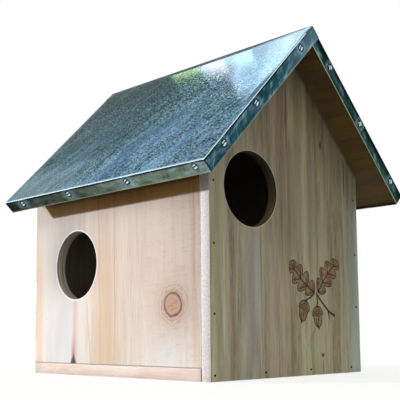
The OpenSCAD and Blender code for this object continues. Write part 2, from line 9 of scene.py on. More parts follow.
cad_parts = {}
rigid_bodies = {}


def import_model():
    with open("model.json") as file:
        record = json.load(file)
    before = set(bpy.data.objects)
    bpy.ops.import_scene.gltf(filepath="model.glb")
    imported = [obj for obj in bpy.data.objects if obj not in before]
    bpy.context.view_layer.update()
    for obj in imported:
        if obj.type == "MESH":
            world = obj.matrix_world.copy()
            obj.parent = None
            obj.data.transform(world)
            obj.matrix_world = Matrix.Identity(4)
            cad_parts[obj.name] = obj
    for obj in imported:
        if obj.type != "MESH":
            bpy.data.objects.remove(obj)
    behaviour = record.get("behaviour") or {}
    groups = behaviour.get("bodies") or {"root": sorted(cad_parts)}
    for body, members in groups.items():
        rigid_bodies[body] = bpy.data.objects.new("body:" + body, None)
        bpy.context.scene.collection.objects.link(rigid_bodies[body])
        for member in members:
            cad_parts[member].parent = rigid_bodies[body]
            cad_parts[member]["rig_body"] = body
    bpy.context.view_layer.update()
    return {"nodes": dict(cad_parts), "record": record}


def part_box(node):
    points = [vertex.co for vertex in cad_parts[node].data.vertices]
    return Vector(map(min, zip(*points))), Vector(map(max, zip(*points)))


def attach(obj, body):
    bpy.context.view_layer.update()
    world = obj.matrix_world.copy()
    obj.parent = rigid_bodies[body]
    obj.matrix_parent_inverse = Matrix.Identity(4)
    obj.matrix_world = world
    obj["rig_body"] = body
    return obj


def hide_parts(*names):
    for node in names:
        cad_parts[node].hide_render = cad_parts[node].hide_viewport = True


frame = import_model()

bl_info = {
    "name": "Squirrel nest box",
    "version": (1, 0, 0),
    "blender": (4, 5, 0),
    "location": "View3D > Sidebar > Nest box",
    "description": "Dresses the packed nest box with pine boards, a folded metal roof and its fittings",
    "category": "Object",
}

MM = 0.001
X, Y, Z = 0, 1, 2
SIDES = {"left": -1, "right": 1}

# Places read from the frame, in metres
GABLE_LOW, GABLE_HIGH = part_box("front_gable")
SHEET_LOW, SHEET_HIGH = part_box("roof_sheet")
WALL_LOW, WALL_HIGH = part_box("left_wall")
FLOOR_LOW, FLOOR_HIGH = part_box("floor_board")
REAR_LOW, REAR_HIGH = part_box("rear_gable")
PITCH = math.radians(46)
SHEET_T = 0.5 * MM
ROOF_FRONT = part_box("left_roof_board")[0].y - SHEET_T
ROOF_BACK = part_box("left_roof_board")[1].y + SHEET_T
RIDGE = SHEET_HIGH.z
SLOPE_LEN = SHEET_HIGH.x / math.cos(PITCH)
FLANGE = (RIDGE - SLOPE_LEN * math.sin(PITCH) - SHEET_LOW.z) / math.cos(PITCH)
BOARD_COVER = (RIDGE - GABLE_HIGH.z) * math.cos(PITCH)
ENTRANCE_R = 38 * MM
BRAD_HOLE_R = 1.25 * MM
SHORT_EDGE = 1 * MM
NAIL_HOLE_R = 2.35 * MM
OPENINGS = {
    hole["name"]: (Vector(hole["box_m"][0]) + Vector(hole["box_m"][1])) / 2
    for hole in frame["record"]["physics"]["openings"]
}


def colour(red, green, blue):
    """A display colour from 0 to 255 as the linear values that sockets take"""
    levels = [c / 255 for c in (red, green, blue)]
    return tuple(c / 12.92 if c < 0.04045 else ((c + 0.055) / 1.055) ** 2.4 for c in levels)


def length(name, description, default):
    return bpy.props.FloatProperty(
        name=name, description=description, default=default, min=0, unit="LENGTH", precision=5
    )


def tint(name, description, levels):
    return bpy.props.FloatVectorProperty(
        name=name, description=description, default=colour(*levels), subtype="COLOR", size=3,
        min=0, max=1,
    )


class NestBoxSizes(bpy.types.PropertyGroup):
    """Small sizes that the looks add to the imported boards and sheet"""

    board_edge: length("Board edge", "Width of the softened edges of the boards", 0.6 * MM)
    entrance_edge: length("Entrance edge", "Width of the sanded rims of the two entrances", 0.9 * MM)
    edge_wander: length("Edge wander", "How far the sawn edges wander from a straight line", 0.25 * MM)
    fold_radius: length("Fold radius", "Radius of the folds along the eaves and rakes", 0.6 * MM)
    ridge_radius: length("Ridge radius", "Radius of the fold along the ridge", 0.3 * MM)
    flange_wave: length("Flange wave", "How far the lower edges of the flanges wander", 0.45 * MM)
    dimple: length("Dimple", "Depth of the dents that the pins leave in the flanges", 0.45 * MM)
    pin_head: length("Pin head", "Radius of the pin heads", 2.8 * MM)
    fitting_edge: length("Fitting edge", "Width of the rounded edges of the steel fittings", 0.15 * MM)
    burnt_line: length("Burnt line", "Width of the burnt rims of the oak sprig", 1.1 * MM)


class NestBoxColours(bpy.types.PropertyGroup):
    """Colours of the woods and metals"""

    wall_pale: tint("Wall pine", "Pale wood of the walls", (248, 240, 230))
    wall_brown: tint("Wall grain", "Brown grain of the walls", (196, 152, 120))
    gable_pale: tint("Gable pine", "Pale wood of the front gable", (250, 245, 208))
    gable_brown: tint("Gable grain", "Brown grain of the front gable", (140, 122, 92))
    # Painted shade: the roof boards' wood is darkened for the shade it lies in, facing down under the roof
    shaded_soffit_pale: tint("Roof board pine", "Pale wood of the roof boards", (106, 80, 14))
    shaded_soffit_brown: tint("Roof board grain", "Brown grain of the roof boards", (50, 33, 6))
    knot: tint("Knot", "Wood inside the knots", (222, 172, 138))
    knot_swirl: tint("Knot swirl", "Rings in and round the knots", (176, 122, 94))
    dead_knot: tint("Dead knot", "Small dark knots", (74, 54, 38))
    bark: tint("Bark", "Dark ring round the knots", (92, 38, 28))
    hollow: tint("Hollow", "Inside of the loose knot at the foot of the left wall", (24, 9, 6))
    # Painted light: the two bores are the same drilled wood, painted near white in the side entrance and
    # dark brown in the front one, as lit and shaded copies
    lit_side_bore: tint("Side bore", "Wood in the bore of the side entrance", (252, 248, 240))
    lit_side_groove: tint("Side grooves", "Drill marks in the side entrance", (178, 164, 138))
    shaded_front_bore: tint("Front bore", "Wood in the bore of the front entrance", (150, 128, 80))
    shaded_front_groove: tint("Front grooves", "Drill marks in the front entrance", (54, 42, 22))
    stain: tint("Stain", "Dark wood round the brads and nails", (36, 28, 22))
    seam: tint("Seam", "Dark seams where two boards meet", (78, 54, 44))
    # Painted shade: the colour for wood inside the box and other places where little light goes
    cavity_shade: tint("Cavity", "Wood inside the box", (82, 70, 44))
    zinc_dark: tint("Dark zinc", "Dark patches of the roof sheet", (34, 62, 72))
    zinc_middle: tint("Middle zinc", "Common tone of the roof sheet", (96, 138, 158))
    zinc_pale: tint("Pale zinc", "Pale patches of the roof sheet", (128, 176, 205))
    zinc_fleck: tint("Zinc flecks", "Palest flecks of the zinc", (180, 220, 242))
    zinc_blue: tint("Blue zinc", "Blue bands of the roof sheet", (100, 148, 200))
    # Painted sheen: smooth zinc where the front of the ridge mirrors the bright lamps
    sheen_zinc: tint("Fresh zinc", "Smooth zinc near the front of the ridge", (92, 117, 127))
    zinc_bloom: tint("Zinc bloom", "Pale greenish bloom near the eaves", (150, 182, 186))
    eave_zinc: tint("Eave zinc", "Dull zinc of the eave flanges", (103, 119, 105))
    left_rake_zinc: tint("Left rake zinc", "Teal zinc of the left rake flanges", (36, 77, 87))
    right_rake_zinc: tint("Right rake zinc", "Green zinc of the right rake flanges", (29, 63, 52))
    flange_lip: tint("Flange lip", "Pale cut edge of the flanges", (156, 164, 142))
    # Grime: dirt and painted shade under the folds, at the flanges' ends, in the pin dents and on the pin
    # heads
    grime_and_shade: tint("Grime", "Dirt under the folds and round the pins", (12, 26, 30))
    # Polished zinc along the folds, painted pale to draw the highlight that the folds catch
    fold_zinc: tint("Eave fold zinc", "Zinc polished along the eave folds", (120, 138, 146))
    rake_fold_highlight: tint("Rake fold zinc", "Zinc polished along the rake folds", (226, 242, 252))
    plated: tint("Plated steel", "Zinc plating of the fittings and screws", (205, 208, 208))
    # Painted highlight: the bright strokes on the pin heads
    head_highlight: tint("Bright heads", "Hammered strokes on the heads of the pins", (206, 224, 232))
    bare_steel: tint("Bare steel", "Steel of the nails and brads", (30, 26, 24))
    burnt: tint("Burnt line", "Dark lines of the oak sprig", (40, 18, 2))
    scorched: tint("Scorched", "Brown fill of the oak sprig", (158, 112, 52))
    floor: tint("Stage floor", "The plain floor under the box", (150, 150, 150))


def sizes():
    return bpy.context.scene.nest_box_sizes


def colours():
    return bpy.context.scene.nest_box_colours


# Places on the roof

def on_slope(side, down, deep, y):
    """The point on one slope: down from the ridge, in from the face of the sheet and along the roof"""
    x = down * math.cos(PITCH) - deep * math.sin(PITCH)
    z = RIDGE - down * math.sin(PITCH) - deep * math.cos(PITCH)
    return Vector((side * x, y, z))


def down_slope(side):
    return Vector((side * math.cos(PITCH), 0, -math.sin(PITCH)))


def off_slope(side):
    return Vector((side * math.sin(PITCH), 0, math.cos(PITCH)))


def sheet_depth(point):
    """How far a point lies in from the plane of the slope's face"""
    return (RIDGE - point.z) * math.cos(PITCH) - abs(point.x) * math.sin(PITCH)


def soffit_z(x):
    return GABLE_HIGH.z - abs(x) * math.tan(PITCH)


# Shaping

def only(kind, geometry):
    return [item for item in geometry if isinstance(item, kind)]


def mesh_piece(name, bm, materials, body, nodes=(), smooth=35):
    """Turns a finished bmesh into a piece that rides on a body and stands for some nodes"""
    mesh = bpy.data.meshes.new(name)
    bm.to_mesh(mesh)
    bm.free()
    for material in materials:
        mesh.materials.append(material)
    mesh.shade_smooth()
    mesh.set_sharp_from_angle(angle=math.radians(smooth))
    piece = bpy.data.objects.new(name, mesh)
    bpy.context.scene.collection.objects.link(piece)
    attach(piece, body)
    if nodes:
        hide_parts(*nodes)
    return piece


def closed_chain(bm, points):
    """A closed chain of edges through these points"""
    verts = [bm.verts.new(point) for point in points]
    return [bm.edges.new(pair) for pair in zip(verts, verts[1:] + verts[:1])]


def ring_points(centre, radius, across, up, steps):
    turns = [2 * math.pi * step / steps for step in range(steps)]
    return [centre + radius * (math.cos(a) * across + math.sin(a) * up) for a in turns]


def wandering(points, normal, reach, step, seed):
    """Points close together along an outline, each moved in a little as a saw would leave it"""
    middle = sum(points, Vector()) / len(points)
    made = []
    for start, end in zip(points, points[1:] + points[:1]):
        count = max(1, round((end - start).length / step))
        inward = normal.cross(end - start).normalized()
        if inward.dot(middle - start) < 0:
            inward.negate()
        for i in range(count):
            spot = start.lerp(end, i / count)
            drift = noise.noise(spot * 90 + Vector((seed, 0, 0))) + 0.6 * noise.noise(spot * 400)
            made.append(spot + inward * reach * min(1, abs(drift) * 1.5) * (0 if i == 0 else 1))
    return made


def sharp_edges(bm, angle, shortest):
    """Edges longer than a length where two faces turn by more than an angle, in degrees"""
    turn = math.radians(angle)
    return [
        e for e in bm.edges
        if len(e.link_faces) == 2 and e.calc_face_angle() > turn and e.calc_length() > shortest
    ]


def soften(bm, edges, width):
    """Rounds these edges, and gives the faces that this makes"""
    return bmesh.ops.bevel(
        bm, geom=edges, offset=width, offset_type="OFFSET", affect="EDGES", segments=2, profile=0.5,
        material=-1, clamp_overlap=True,
    )["faces"]


def board_mesh(outline, through, holes=(), seed=0, wander=True, entrance=None):
    """A board with softened edges, from its outline, its holes and its way through

    The walls of small holes are stained by their brads or nails."""
    bm = bmesh.new()
    normal = through.normalized()
    rim = wandering(outline, normal, sizes().edge_wander, 7 * MM, seed) if wander else outline
    edges = closed_chain(bm, rim)
    for hole in holes:
        edges += closed_chain(bm, hole)
    filled = bmesh.ops.triangle_fill(bm, use_beauty=True, use_dissolve=False, edges=edges)
    faces = only(bmesh.types.BMFace, filled["geom"])
    grown = bmesh.ops.extrude_face_region(bm, geom=faces, use_keep_orig=True)
    moved = only(bmesh.types.BMVert, grown["geom"])
    bmesh.ops.translate(bm, verts=moved, vec=through)
    bmesh.ops.recalc_face_normals(bm, faces=bm.faces)
    sanded = bm.faces.layers.float.new("sanded")
    sharp = sharp_edges(bm, 50, SHORT_EDGE)
    stained = bm.faces.layers.float.new("stained")
    for face in bm.faces:
        small = min(e.calc_length() for e in face.edges) < SHORT_EDGE
        face[stained] = 1 if small and abs(face.normal.dot(normal)) < 0.1 else 0
    rims = [e for e in sharp if entrance and round_the_entrance(e, entrance, normal)]
    others = [e for e in sharp if e not in rims]
    for edges, width in ((rims, sizes().entrance_edge), (others, sizes().board_edge)):
        for face in soften(bm, edges, width):
            face[sanded] = 1
    return bm


def round_the_entrance(edge, entrance, normal):
    gap = (edge.verts[0].co + edge.verts[1].co) / 2 - entrance
    gap -= normal * gap.dot(normal)
    return abs(gap.length - ENTRANCE_R) < 0.1 * MM


def fold(bm, edges, centre, axis, angle, steps=5):
    """Bends a strip out of these edges round an axis, and gives the strip's far edges"""
    geometry = edges + list(dict.fromkeys(v for e in edges for v in e.verts))
    spun = bmesh.ops.spin(
        bm, geom=geometry, cent=centre, axis=axis, angle=angle, steps=steps, use_merge=False,
        use_duplicate=False,
    )
    return only(bmesh.types.BMEdge, spun["geom_last"])


def pull(bm, edges, way):
    """Draws a strip out of these edges, and gives the strip's far edges"""
    drawn = bmesh.ops.extrude_edge_only(bm, edges=edges)["geom"]
    bmesh.ops.translate(bm, verts=only(bmesh.types.BMVert, drawn), vec=way)
    far = set(only(bmesh.types.BMVert, drawn))
    return [e for e in only(bmesh.types.BMEdge, drawn) if e.verts[0] in far and e.verts[1] in far]


def turned(profile, steps):
    """A round solid: a profile of radius and height pairs, spun about Z"""
    bm = bmesh.new()
    verts = [bm.verts.new((radius, 0, height)) for radius, height in profile]
    edges = [bm.edges.new(pair) for pair in zip(verts, verts[1:])]
    bmesh.ops.spin(
        bm, geom=verts + edges, cent=(0, 0, 0), axis=(0, 0, 1), angle=2 * math.pi, steps=steps,
        use_merge=True, use_duplicate=False,
    )
    bmesh.ops.remove_doubles(bm, verts=bm.verts, dist=0.001 * MM)
    bmesh.ops.recalc_face_normals(bm, faces=bm.faces)
    return bm


def softened_copy(node, radius, material, name):
    """A copy of a node's solid with its sharp edges rounded, to stand for that node"""
    source = frame["nodes"][node]
    bm = bmesh.new()
    bm.from_mesh(source.data)
    bmesh.ops.remove_doubles(bm, verts=bm.verts, dist=0.001 * MM)
    bmesh.ops.dissolve_limit(bm, angle_limit=math.radians(1), verts=bm.verts, edges=bm.edges)
    soften(bm, sharp_edges(bm, 40, radius), radius)
    return mesh_piece(name, bm, [material], source["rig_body"], [node])


def solids_of(node):
    """The corners of each separate solid of a node, in the order of its mesh"""
    bm = bmesh.new()
    bm.from_mesh(frame["nodes"][node].data)
    bmesh.ops.remove_doubles(bm, verts=bm.verts, dist=0.001 * MM)
    seen = set()
    found = []
    for start in bm.verts:
        if start in seen:
            continue
        seen.add(start)
        queue = [start]
        island = []
        while queue:
            vert = queue.pop()
            island.append(vert.co.copy())
            for edge in vert.link_edges:
                other = edge.other_vert(vert)
                if other not in seen:
                    seen.add(other)
                    queue.append(other)
        found.append(island)
    bm.free()
    return found


def join_into(bm, other, place):
    """Adds another bmesh to this one, moved by a matrix"""
    mesh = bpy.data.meshes.new("part")
    other.transform(place)
    other.to_mesh(mesh)
    other.free()
    bm.from_mesh(mesh)
    bpy.data.meshes.remove(mesh)


# Materials

class Graph:
    """Adds nodes to a tree one step at a time, each fed by numbers or by earlier steps"""

    def __init__(self, tree):
        self.tree = tree

    def set(self, socket, value):
        if isinstance(value, bpy.types.NodeSocket):
            self.tree.links.new(value, socket)
        elif value is not None:
            is_colour = socket.type == "RGBA" and len(value) == 3
            socket.default_value = (*value, 1) if is_colour else value

    def add(self, kind, inputs=(), **settings):
        node = self.tree.nodes.new(kind)
        for key, value in settings.items():
            setattr(node, key, value)
        for key, value in dict(inputs).items():
            self.set(node.inputs[key], value)
        return node

    def math(self, operation, *values, clamp=False):
        node = self.add("ShaderNodeMath", enumerate(values), operation=operation, use_clamp=clamp)
        return node.outputs[0]

    def times(self, first, second):
        return self.math("MULTIPLY", first, second)

    def plus(self, first, second, clamp=False):
        return self.math("ADD", first, second, clamp=clamp)

    def minus(self, first, second):
        return self.math("SUBTRACT", first, second)

    def over(self, first, second):
        return self.math("DIVIDE", first, second)

    def absolute(self, value):
        return self.math("ABSOLUTE", value)

    def times_plus(self, first, second, third):
        return self.math("MULTIPLY_ADD", first, second, third)

    def larger(self, first, second):
        return self.math("MAXIMUM", first, second)

    def measure(self, operation, *values):
        """An operation on vectors that gives one number"""
        return self.add("ShaderNodeVectorMath", enumerate(values), operation=operation).outputs["Value"]

    def vector(self, operation, *values):
        return self.add("ShaderNodeVectorMath", enumerate(values), operation=operation).outputs[0]

    def scaled(self, vector, scale):
        return self.vector("MULTIPLY", vector, scale)

    def place(self):
        """Where a point lies on the whole box, in metres"""
        return self.add("ShaderNodeTexCoord").outputs["Object"]

    def place_mm(self):
        return self.scaled(self.place(), (1000, 1000, 1000))

    def attribute(self, name):
        """A value that the mesh holds for each vertex or face"""
        kept = {"attribute_name": name, "attribute_type": "GEOMETRY"}
        return self.add("ShaderNodeAttribute", **kept).outputs["Fac"]

    def split(self, vector):
        return self.add("ShaderNodeSeparateXYZ", {0: vector}).outputs

    def join(self, x, y, z):
        return self.add("ShaderNodeCombineXYZ", enumerate((x, y, z))).outputs[0]

    def noise(self, vector, scale=1.0, detail=2.0, rough=0.5):
        inputs = {"Vector": vector, "Scale": scale, "Detail": detail, "Roughness": rough}
        return self.add("ShaderNodeTexNoise", inputs).outputs["Fac"]

    def smooth(self, value, low, high, out_low=0.0, out_high=1.0):
        """A smooth change from one level to the other while the value goes from low to high"""
        names = ("Value", "From Min", "From Max", "To Min", "To Max")
        inputs = zip(names, (value, low, high, out_low, out_high))
        return self.add("ShaderNodeMapRange", inputs, interpolation_type="SMOOTHSTEP").outputs[0]

    def ramp(self, value, stops, interpolation="LINEAR"):
        """Stops are pairs of a place and a grey level or colour"""
        node = self.add("ShaderNodeValToRGB", {0: value})
        node.color_ramp.interpolation = interpolation
        elements = node.color_ramp.elements
        while len(elements) < len(stops):
            elements.new(1)
        for element, (place, level) in zip(elements, stops):
            element.position = place
            grey = isinstance(level, (int, float))
            element.color = (level, level, level, 1) if grey else (*level, 1)
        return node.outputs[0]

    def mix(self, factor, first, second, blend="MIX"):
        inputs = {0: factor, 6: first, 7: second}
        return self.add("ShaderNodeMix", inputs, data_type="RGBA", blend_type=blend).outputs[2]

    def tinted(self, base, tone):
        """A colour multiplied by a tone"""
        return self.mix(1.0, base, tone, "MULTIPLY")

    def shade(self, base, tone, amount):
        """A colour multiplied by a tone where the amount is 1"""
        return self.mix(amount, base, self.tinted(base, tone))

    def group(self, tree, **inputs):
        """The outputs of a node group whose inputs are named with _ for each space"""
        named = {key.replace("_", " "): value for key, value in inputs.items()}
        return self.add("ShaderNodeGroup", named, node_tree=tree).outputs


GROUPS = {}
STREAK_SOCKETS = ("X", "Width", "Low", "High", "Slant", "Waver", "Fade")


def floats(*names):
    """Sockets that hold one number each"""
    return dict.fromkeys(names, "f")


def shader_group(name, inputs, outputs, build):
    """A node group with named sockets, built the first time that it is asked for"""
    if name in GROUPS:
        return GROUPS[name]
    tree = bpy.data.node_groups.new(name, "ShaderNodeTree")
    kinds = {"f": "NodeSocketFloat", "v": "NodeSocketVector", "c": "NodeSocketColor"}
    for label, kind in inputs.items():
        tree.interface.new_socket(label, in_out="INPUT", socket_type=kinds[kind])
    for label, kind in outputs.items():
        tree.interface.new_socket(label, in_out="OUTPUT", socket_type=kinds[kind])
    graph = Graph(tree)
    given = tree.nodes.new("NodeGroupInput").outputs
    made = build(graph, given)
    end = tree.nodes.new("NodeGroupOutput")
    for label, value in made.items():
        graph.set(end.inputs[label], value)
    GROUPS[name] = tree
    return tree


def figure_group():
    """Pine in millimetres: X runs across the grain, Y into the board and Z along the grain"""

    def build(g, given):
        seeded = g.vector("ADD", given["Board"], g.join(g.times(given["Seed"], 131.0), 0.0, 0.0))
        long_grain = g.scaled(seeded, (1, 1, 0.12))
        sway = g.minus(g.noise(long_grain, 0.03, 2), 0.5)
        x, y, z = g.split(given["Board"])
        across = g.plus(x, g.times(sway, 9.0))
        from_pith = g.minus(across, given["Pith X"])
        depth = g.plus(y, given["Pith Y"])
        squares = g.plus(g.times(from_pith, from_pith), g.times(depth, depth))
        reach = g.plus(g.math("SQRT", squares), g.times(z, 0.03))
        wobble = g.times(g.noise(long_grain, 0.12, 2), 5.0)
        ring = g.math("FRACT", g.over(g.plus(reach, wobble), given["Spacing"]))
        late = g.ramp(ring, ((0.0, 0.0), (0.45, 0.1), (0.85, 1.0), (1.0, 0.0)))
        streaks = g.noise(g.scaled(seeded, (0.10, 0.10, 0.005)), 1.0, 3, 0.55)
        fibre = g.noise(g.scaled(seeded, (0.7, 0.7, 0.028)), 1.0, 3, 0.65)
        hair = g.noise(g.scaled(seeded, (0.55, 0.55, 0.07)), 1.0, 3, 0.75)
        blotch = g.noise(g.scaled(seeded, (0.035, 0.035, 0.009)), 1.0, 3)
        lines = g.times(late, g.times(given["Lines"], g.smooth(blotch, 0.3, 0.7)))
        bands = g.times(g.smooth(streaks, 0.38, 0.64), given["Bands"])
        fibres = g.times(g.smooth(fibre, 0.42, 0.70), g.times(given["Fibres"], 0.8))
        dark = g.plus(g.plus(lines, bands), fibres, clamp=True)
        grained = g.mix(dark, given["Pale"], given["Brown"])
        flecks = g.times(g.smooth(hair, 0.50, 0.68), g.times(given["Fibres"], 1.2))
        bleached = g.vector("MINIMUM", g.scaled(given["Pale"], (1.25, 1.28, 1.34)), (0.9, 0.9, 0.9))
        high = g.plus(g.times(late, 0.6), g.times(fibre, 0.8))
        return {"Color": g.mix(flecks, grained, bleached), "Height": high}

    numbers = floats("Seed", "Pith X", "Pith Y", "Spacing", "Lines", "Fibres", "Bands")
    inputs = {"Board": "v", "Pale": "c", "Brown": "c", **numbers}
    return shader_group("pine_figure", inputs, {"Color": "c", "Height": "f"}, build)


def knot_group():
    """Grain that parts round a knot, with the masks of the knot, its bark ring and the wood near it"""

    def build(g, given):
        x, y, z = g.split(given["Board"])
        size = given["Radius"]
        rough = g.times(g.minus(g.noise(given["Board"], 0.16, 3), 0.5), g.times(size, 0.34))
        dx = g.minus(x, given["X"])
        dz = g.times(g.minus(z, given["Z"]), 1.10)
        far = g.math("SQRT", g.plus(g.times(dx, dx), g.times(dz, dz)))
        away = g.over(size, g.larger(far, size))
        squeeze = g.minus(1.0, g.times(g.times(away, away), 0.9))
        parted = g.join(g.plus(given["X"], g.times(dx, squeeze)), y, z)
        edge = g.minus(g.plus(far, rough), size)
        core = g.smooth(edge, 0.4, -0.4)
        width = g.times(size, 0.22)
        patchy = g.smooth(g.noise(given["Board"], 0.22, 2), 0.30, 0.55, 0.75, 1.0)
        bark = g.times(g.smooth(g.absolute(edge), width, 0.0), patchy)
        near = g.smooth(g.over(edge, size), 1.5, 0.0)
        warm = g.smooth(g.over(edge, size), 2.6, 0.4)
        swirl = g.times_plus(rough, 3.2, g.times(far, 1.25))
        rings = g.smooth(g.math("SINE", swirl), 0.1, 1.0)
        turn = g.math("ARCTAN2", dz, dx)
        spokes = g.noise(g.join(g.times(turn, 1.3), given["X"], 0.0), 1.0, 2, 0.7)
        within = g.smooth(edge, g.times(size, -0.35), g.times(size, -0.95))
        cracks = g.times(g.smooth(spokes, 0.54, 0.62), within)
        return {
            "Board": parted, "Core": core, "Bark": bark, "Near": near, "Warm": warm, "Rings": rings,
            "Cracks": cracks,
        }

    inputs = {"Board": "v", **floats("X", "Z", "Radius")}
    outputs = {"Board": "v", **floats("Core", "Bark", "Near", "Warm", "Rings", "Cracks")}
    return shader_group("knot", inputs, outputs, build)


def streak_group():
    """A soft streak along the grain: its middle, half width, ends and slant, all in millimetres"""

    def build(g, given):
        x, y, z = g.split(given["Board"])
        waver = g.minus(g.noise(g.scaled(given["Board"], (0, 0, 0.02)), 1.0, 2), 0.5)
        line = g.plus(given["X"], g.times(g.minus(z, given["Low"]), given["Slant"]))
        off = g.minus(x, g.plus(line, g.times(waver, given["Waver"])))
        body = g.smooth(g.over(g.absolute(off), given["Width"]), 1.0, 0.0)
        fade = given["Fade"]
        foot = g.smooth(z, g.minus(given["Low"], fade), g.plus(given["Low"], fade))
        head = g.smooth(z, g.plus(given["High"], fade), g.minus(given["High"], fade))
        return {"Mask": g.times(body, g.times(foot, head))}

    inputs = {"Board": "v", **floats(*STREAK_SOCKETS)}
    return shader_group("streak", inputs, floats("Mask"), build)


def board_vector(g, across, into, along, tilt=0.0):
    """Object coordinates in millimetres, turned so that Z runs along the grain and X across it"""
    coordinates = g.place()
    if tilt:
        inputs = {"Vector": coordinates, "Rotation": (0, tilt, 0)}
        coordinates = g.add("ShaderNodeMapping", inputs, vector_type="POINT").outputs[0]
    parts = g.split(coordinates)
    return g.scaled(g.join(parts[across], parts[into], parts[along]), (1000, 1000, 1000))


def new_material(name, build):
    """A material whose Principled shader takes what the build function gives for its sockets"""
    material = bpy.data.materials.new(name)
    material.use_nodes = True
    g = Graph(material.node_tree)
    shader = next(n for n in material.node_tree.nodes if n.type == "BSDF_PRINCIPLED")
    made = build(g)
    bump = made.pop("bump", None)
    if bump:
        height, strength, distance = bump
        inputs = {"Height": height, "Strength": strength, "Distance": distance}
        made["Normal"] = g.add("ShaderNodeBump", inputs).outputs[0]
    for key, value in made.items():
        g.set(shader.inputs[key], value)
    return material


def staves(g, board, low, high, tones):
    """Tints of the glued staves: each starts at a place across the board, in millimetres"""
    share = g.over(g.minus(g.split(board)[0], low), high - low)
    stops = [(max(0.0, (start - low) / (high - low)), tone) for start, tone in tones]
    return g.ramp(share, stops, "CONSTANT")


def paint_streaks(g, board, base, streaks):
    """Lays soft streaks over a colour: each has its place, its colour and how strongly it shows"""
    for place, shade, strength in streaks:
        mask = g.group(streak_group(), Board=board, **dict(zip(STREAK_SOCKETS, place)))["Mask"]
        base = g.mix(g.times(mask, strength), base, shade)
    return base


def paint_knots(g, board, knots):
    """Parts the grain round each knot, and gives the masks to paint it with"""
    found = []
    for x, z, radius, dead in knots:
        out = g.group(knot_group(), Board=board, X=x, Z=z, Radius=radius)
        board = out["Board"]
        found.append((out, dead))
    return board, found


def pine_layers(g, axes, look, knots=(), streaks=(), tones=None, tilt=0.0):
    """Colour and height of a pine board"""
    flat = board_vector(g, *axes, tilt)
    board, found = paint_knots(g, flat, knots)
    figure = g.group(figure_group(), Board=board, **look)
    base = figure["Color"]
    if tones:
        low, high, steps = tones
        base = g.tinted(base, staves(g, flat, low, high, steps))
    base = paint_streaks(g, flat, base, streaks)
    height = figure["Height"]
    paint = colours()
    for out, dead in found:
        swirl = g.times(out["Near"], g.times_plus(out["Rings"], 0.50, 0.16))
        warmth = g.times(out["Warm"], 0.0 if dead else 0.28)
        base = g.mix(warmth, base, paint.knot)
        base = g.mix(swirl, base, paint.bark if dead else paint.knot_swirl)
        ringed = g.mix(g.times(out["Rings"], 0.30), paint.knot, paint.knot_swirl)
        base = g.mix(g.times(out["Core"], 0.85), base, paint.dead_knot if dead else ringed)
        base = g.mix(g.times(out["Cracks"], 0.9), base, paint.bark)
        base = g.mix(g.times(out["Bark"], 0.95), base, paint.bark)
        height = g.minus(height, g.times(out["Bark"], 1.5))
    return base, height, flat


def sanded_edges_and_highlight(g, base, pale, strength=0.7):
    """Paler wood where the edges were sanded, which also serves as a painted highlight along them"""
    return g.mix(g.times(g.attribute("sanded"), strength), base, pale)


BORE_LAYERS = ("Side", "Side grooves", "Side shade", "Front", "Front grooves", "Front shade")
SIDE_BORE_TOP = 0.60        # how much light the top of each bore keeps
FRONT_BORE_TOP = 0.36
INSIDE_SHADE = 0.90          # how strongly painted shade covers the wood inside the box
INSIDE_SHADE_DOOR = 0.80     # less on the door, which shows through the side entrance


def cavity_shade_group():
    """Masks for painted shade, by place on the box: 1 inside the box, and drill rings in the bores of the
    two entrances, with each bore's shade by height
    """

    def build(g, given):
        x, y, z = g.split(g.place_mm())
        half = (GABLE_HIGH.x - (WALL_HIGH.x - WALL_LOW.x)) / MM
        front, back = GABLE_HIGH.y / MM, REAR_LOW.y / MM
        wide = g.smooth(g.absolute(x), half + 1.0, half)
        deep = g.times(g.smooth(y, front - 1.0, front), g.smooth(y, back + 0.6, back))
        high = g.smooth(z, (FLOOR_HIGH.z / MM) - 0.6, FLOOR_HIGH.z / MM)
        inside = g.times(wide, g.times(deep, high))
        side = OPENINGS["side_entrance"] / MM
        front_hole = OPENINGS["front_entrance"] / MM
        bores = []
        for first, second, depth, middle, at_top, low, high in (
            (y, z, x, (side.y, side.z), SIDE_BORE_TOP, WALL_LOW.x / MM, WALL_HIGH.x / MM),
            (
                x, z, y, (front_hole.x, front_hole.z), FRONT_BORE_TOP,
                GABLE_LOW.y / MM, GABLE_HIGH.y / MM,
            ),
        ):
            reach = distance(g, first, second, *middle)
            through = g.times(g.smooth(depth, low - 0.6, low), g.smooth(depth, high + 0.6, high))
            bore = g.smooth(reach, ENTRANCE_R / MM + 0.35, ENTRANCE_R / MM + 0.1)
            bores.append(g.times(through, bore))
            grooves = g.noise(g.join(g.times(depth, 1.1), g.times(second, 0.02), 0.0), 1.0, 2)
            bores.append(g.smooth(grooves, 0.42, 0.58))
            bores.append(g.smooth(second, middle[1] - 30.0, middle[1] + 34.0, 1.0, at_top))
        return dict(zip(BORE_LAYERS, bores), Inside=inside)

    return shader_group("cavity_shade", {}, floats(*BORE_LAYERS, "Inside"), build)


def wood(g, base, height, rough=0.62, inside_shade=INSIDE_SHADE):
    """Sockets of a board, with painted shade inside the box and in the two bores, where little light goes
    """
    paint = colours()
    cavity_shade = g.group(cavity_shade_group())
    for name, wall, groove in (
        ("Side", paint.lit_side_bore, paint.lit_side_groove),
        ("Front", paint.shaded_front_bore, paint.shaded_front_groove),
    ):
        bore = g.mix(cavity_shade[name + " grooves"], wall, groove)
        base = g.mix(cavity_shade[name], base, g.tinted(bore, cavity_shade[name + " shade"]))
    base = g.mix(g.times(cavity_shade["Inside"], inside_shade), base, paint.cavity_shade)
    base = g.mix(g.attribute("stained"), base, paint.stain)
    return {"Base Color": base, "Roughness": rough, "bump": (height, 0.35, 0.25 * MM)}


MATERIALS = {}


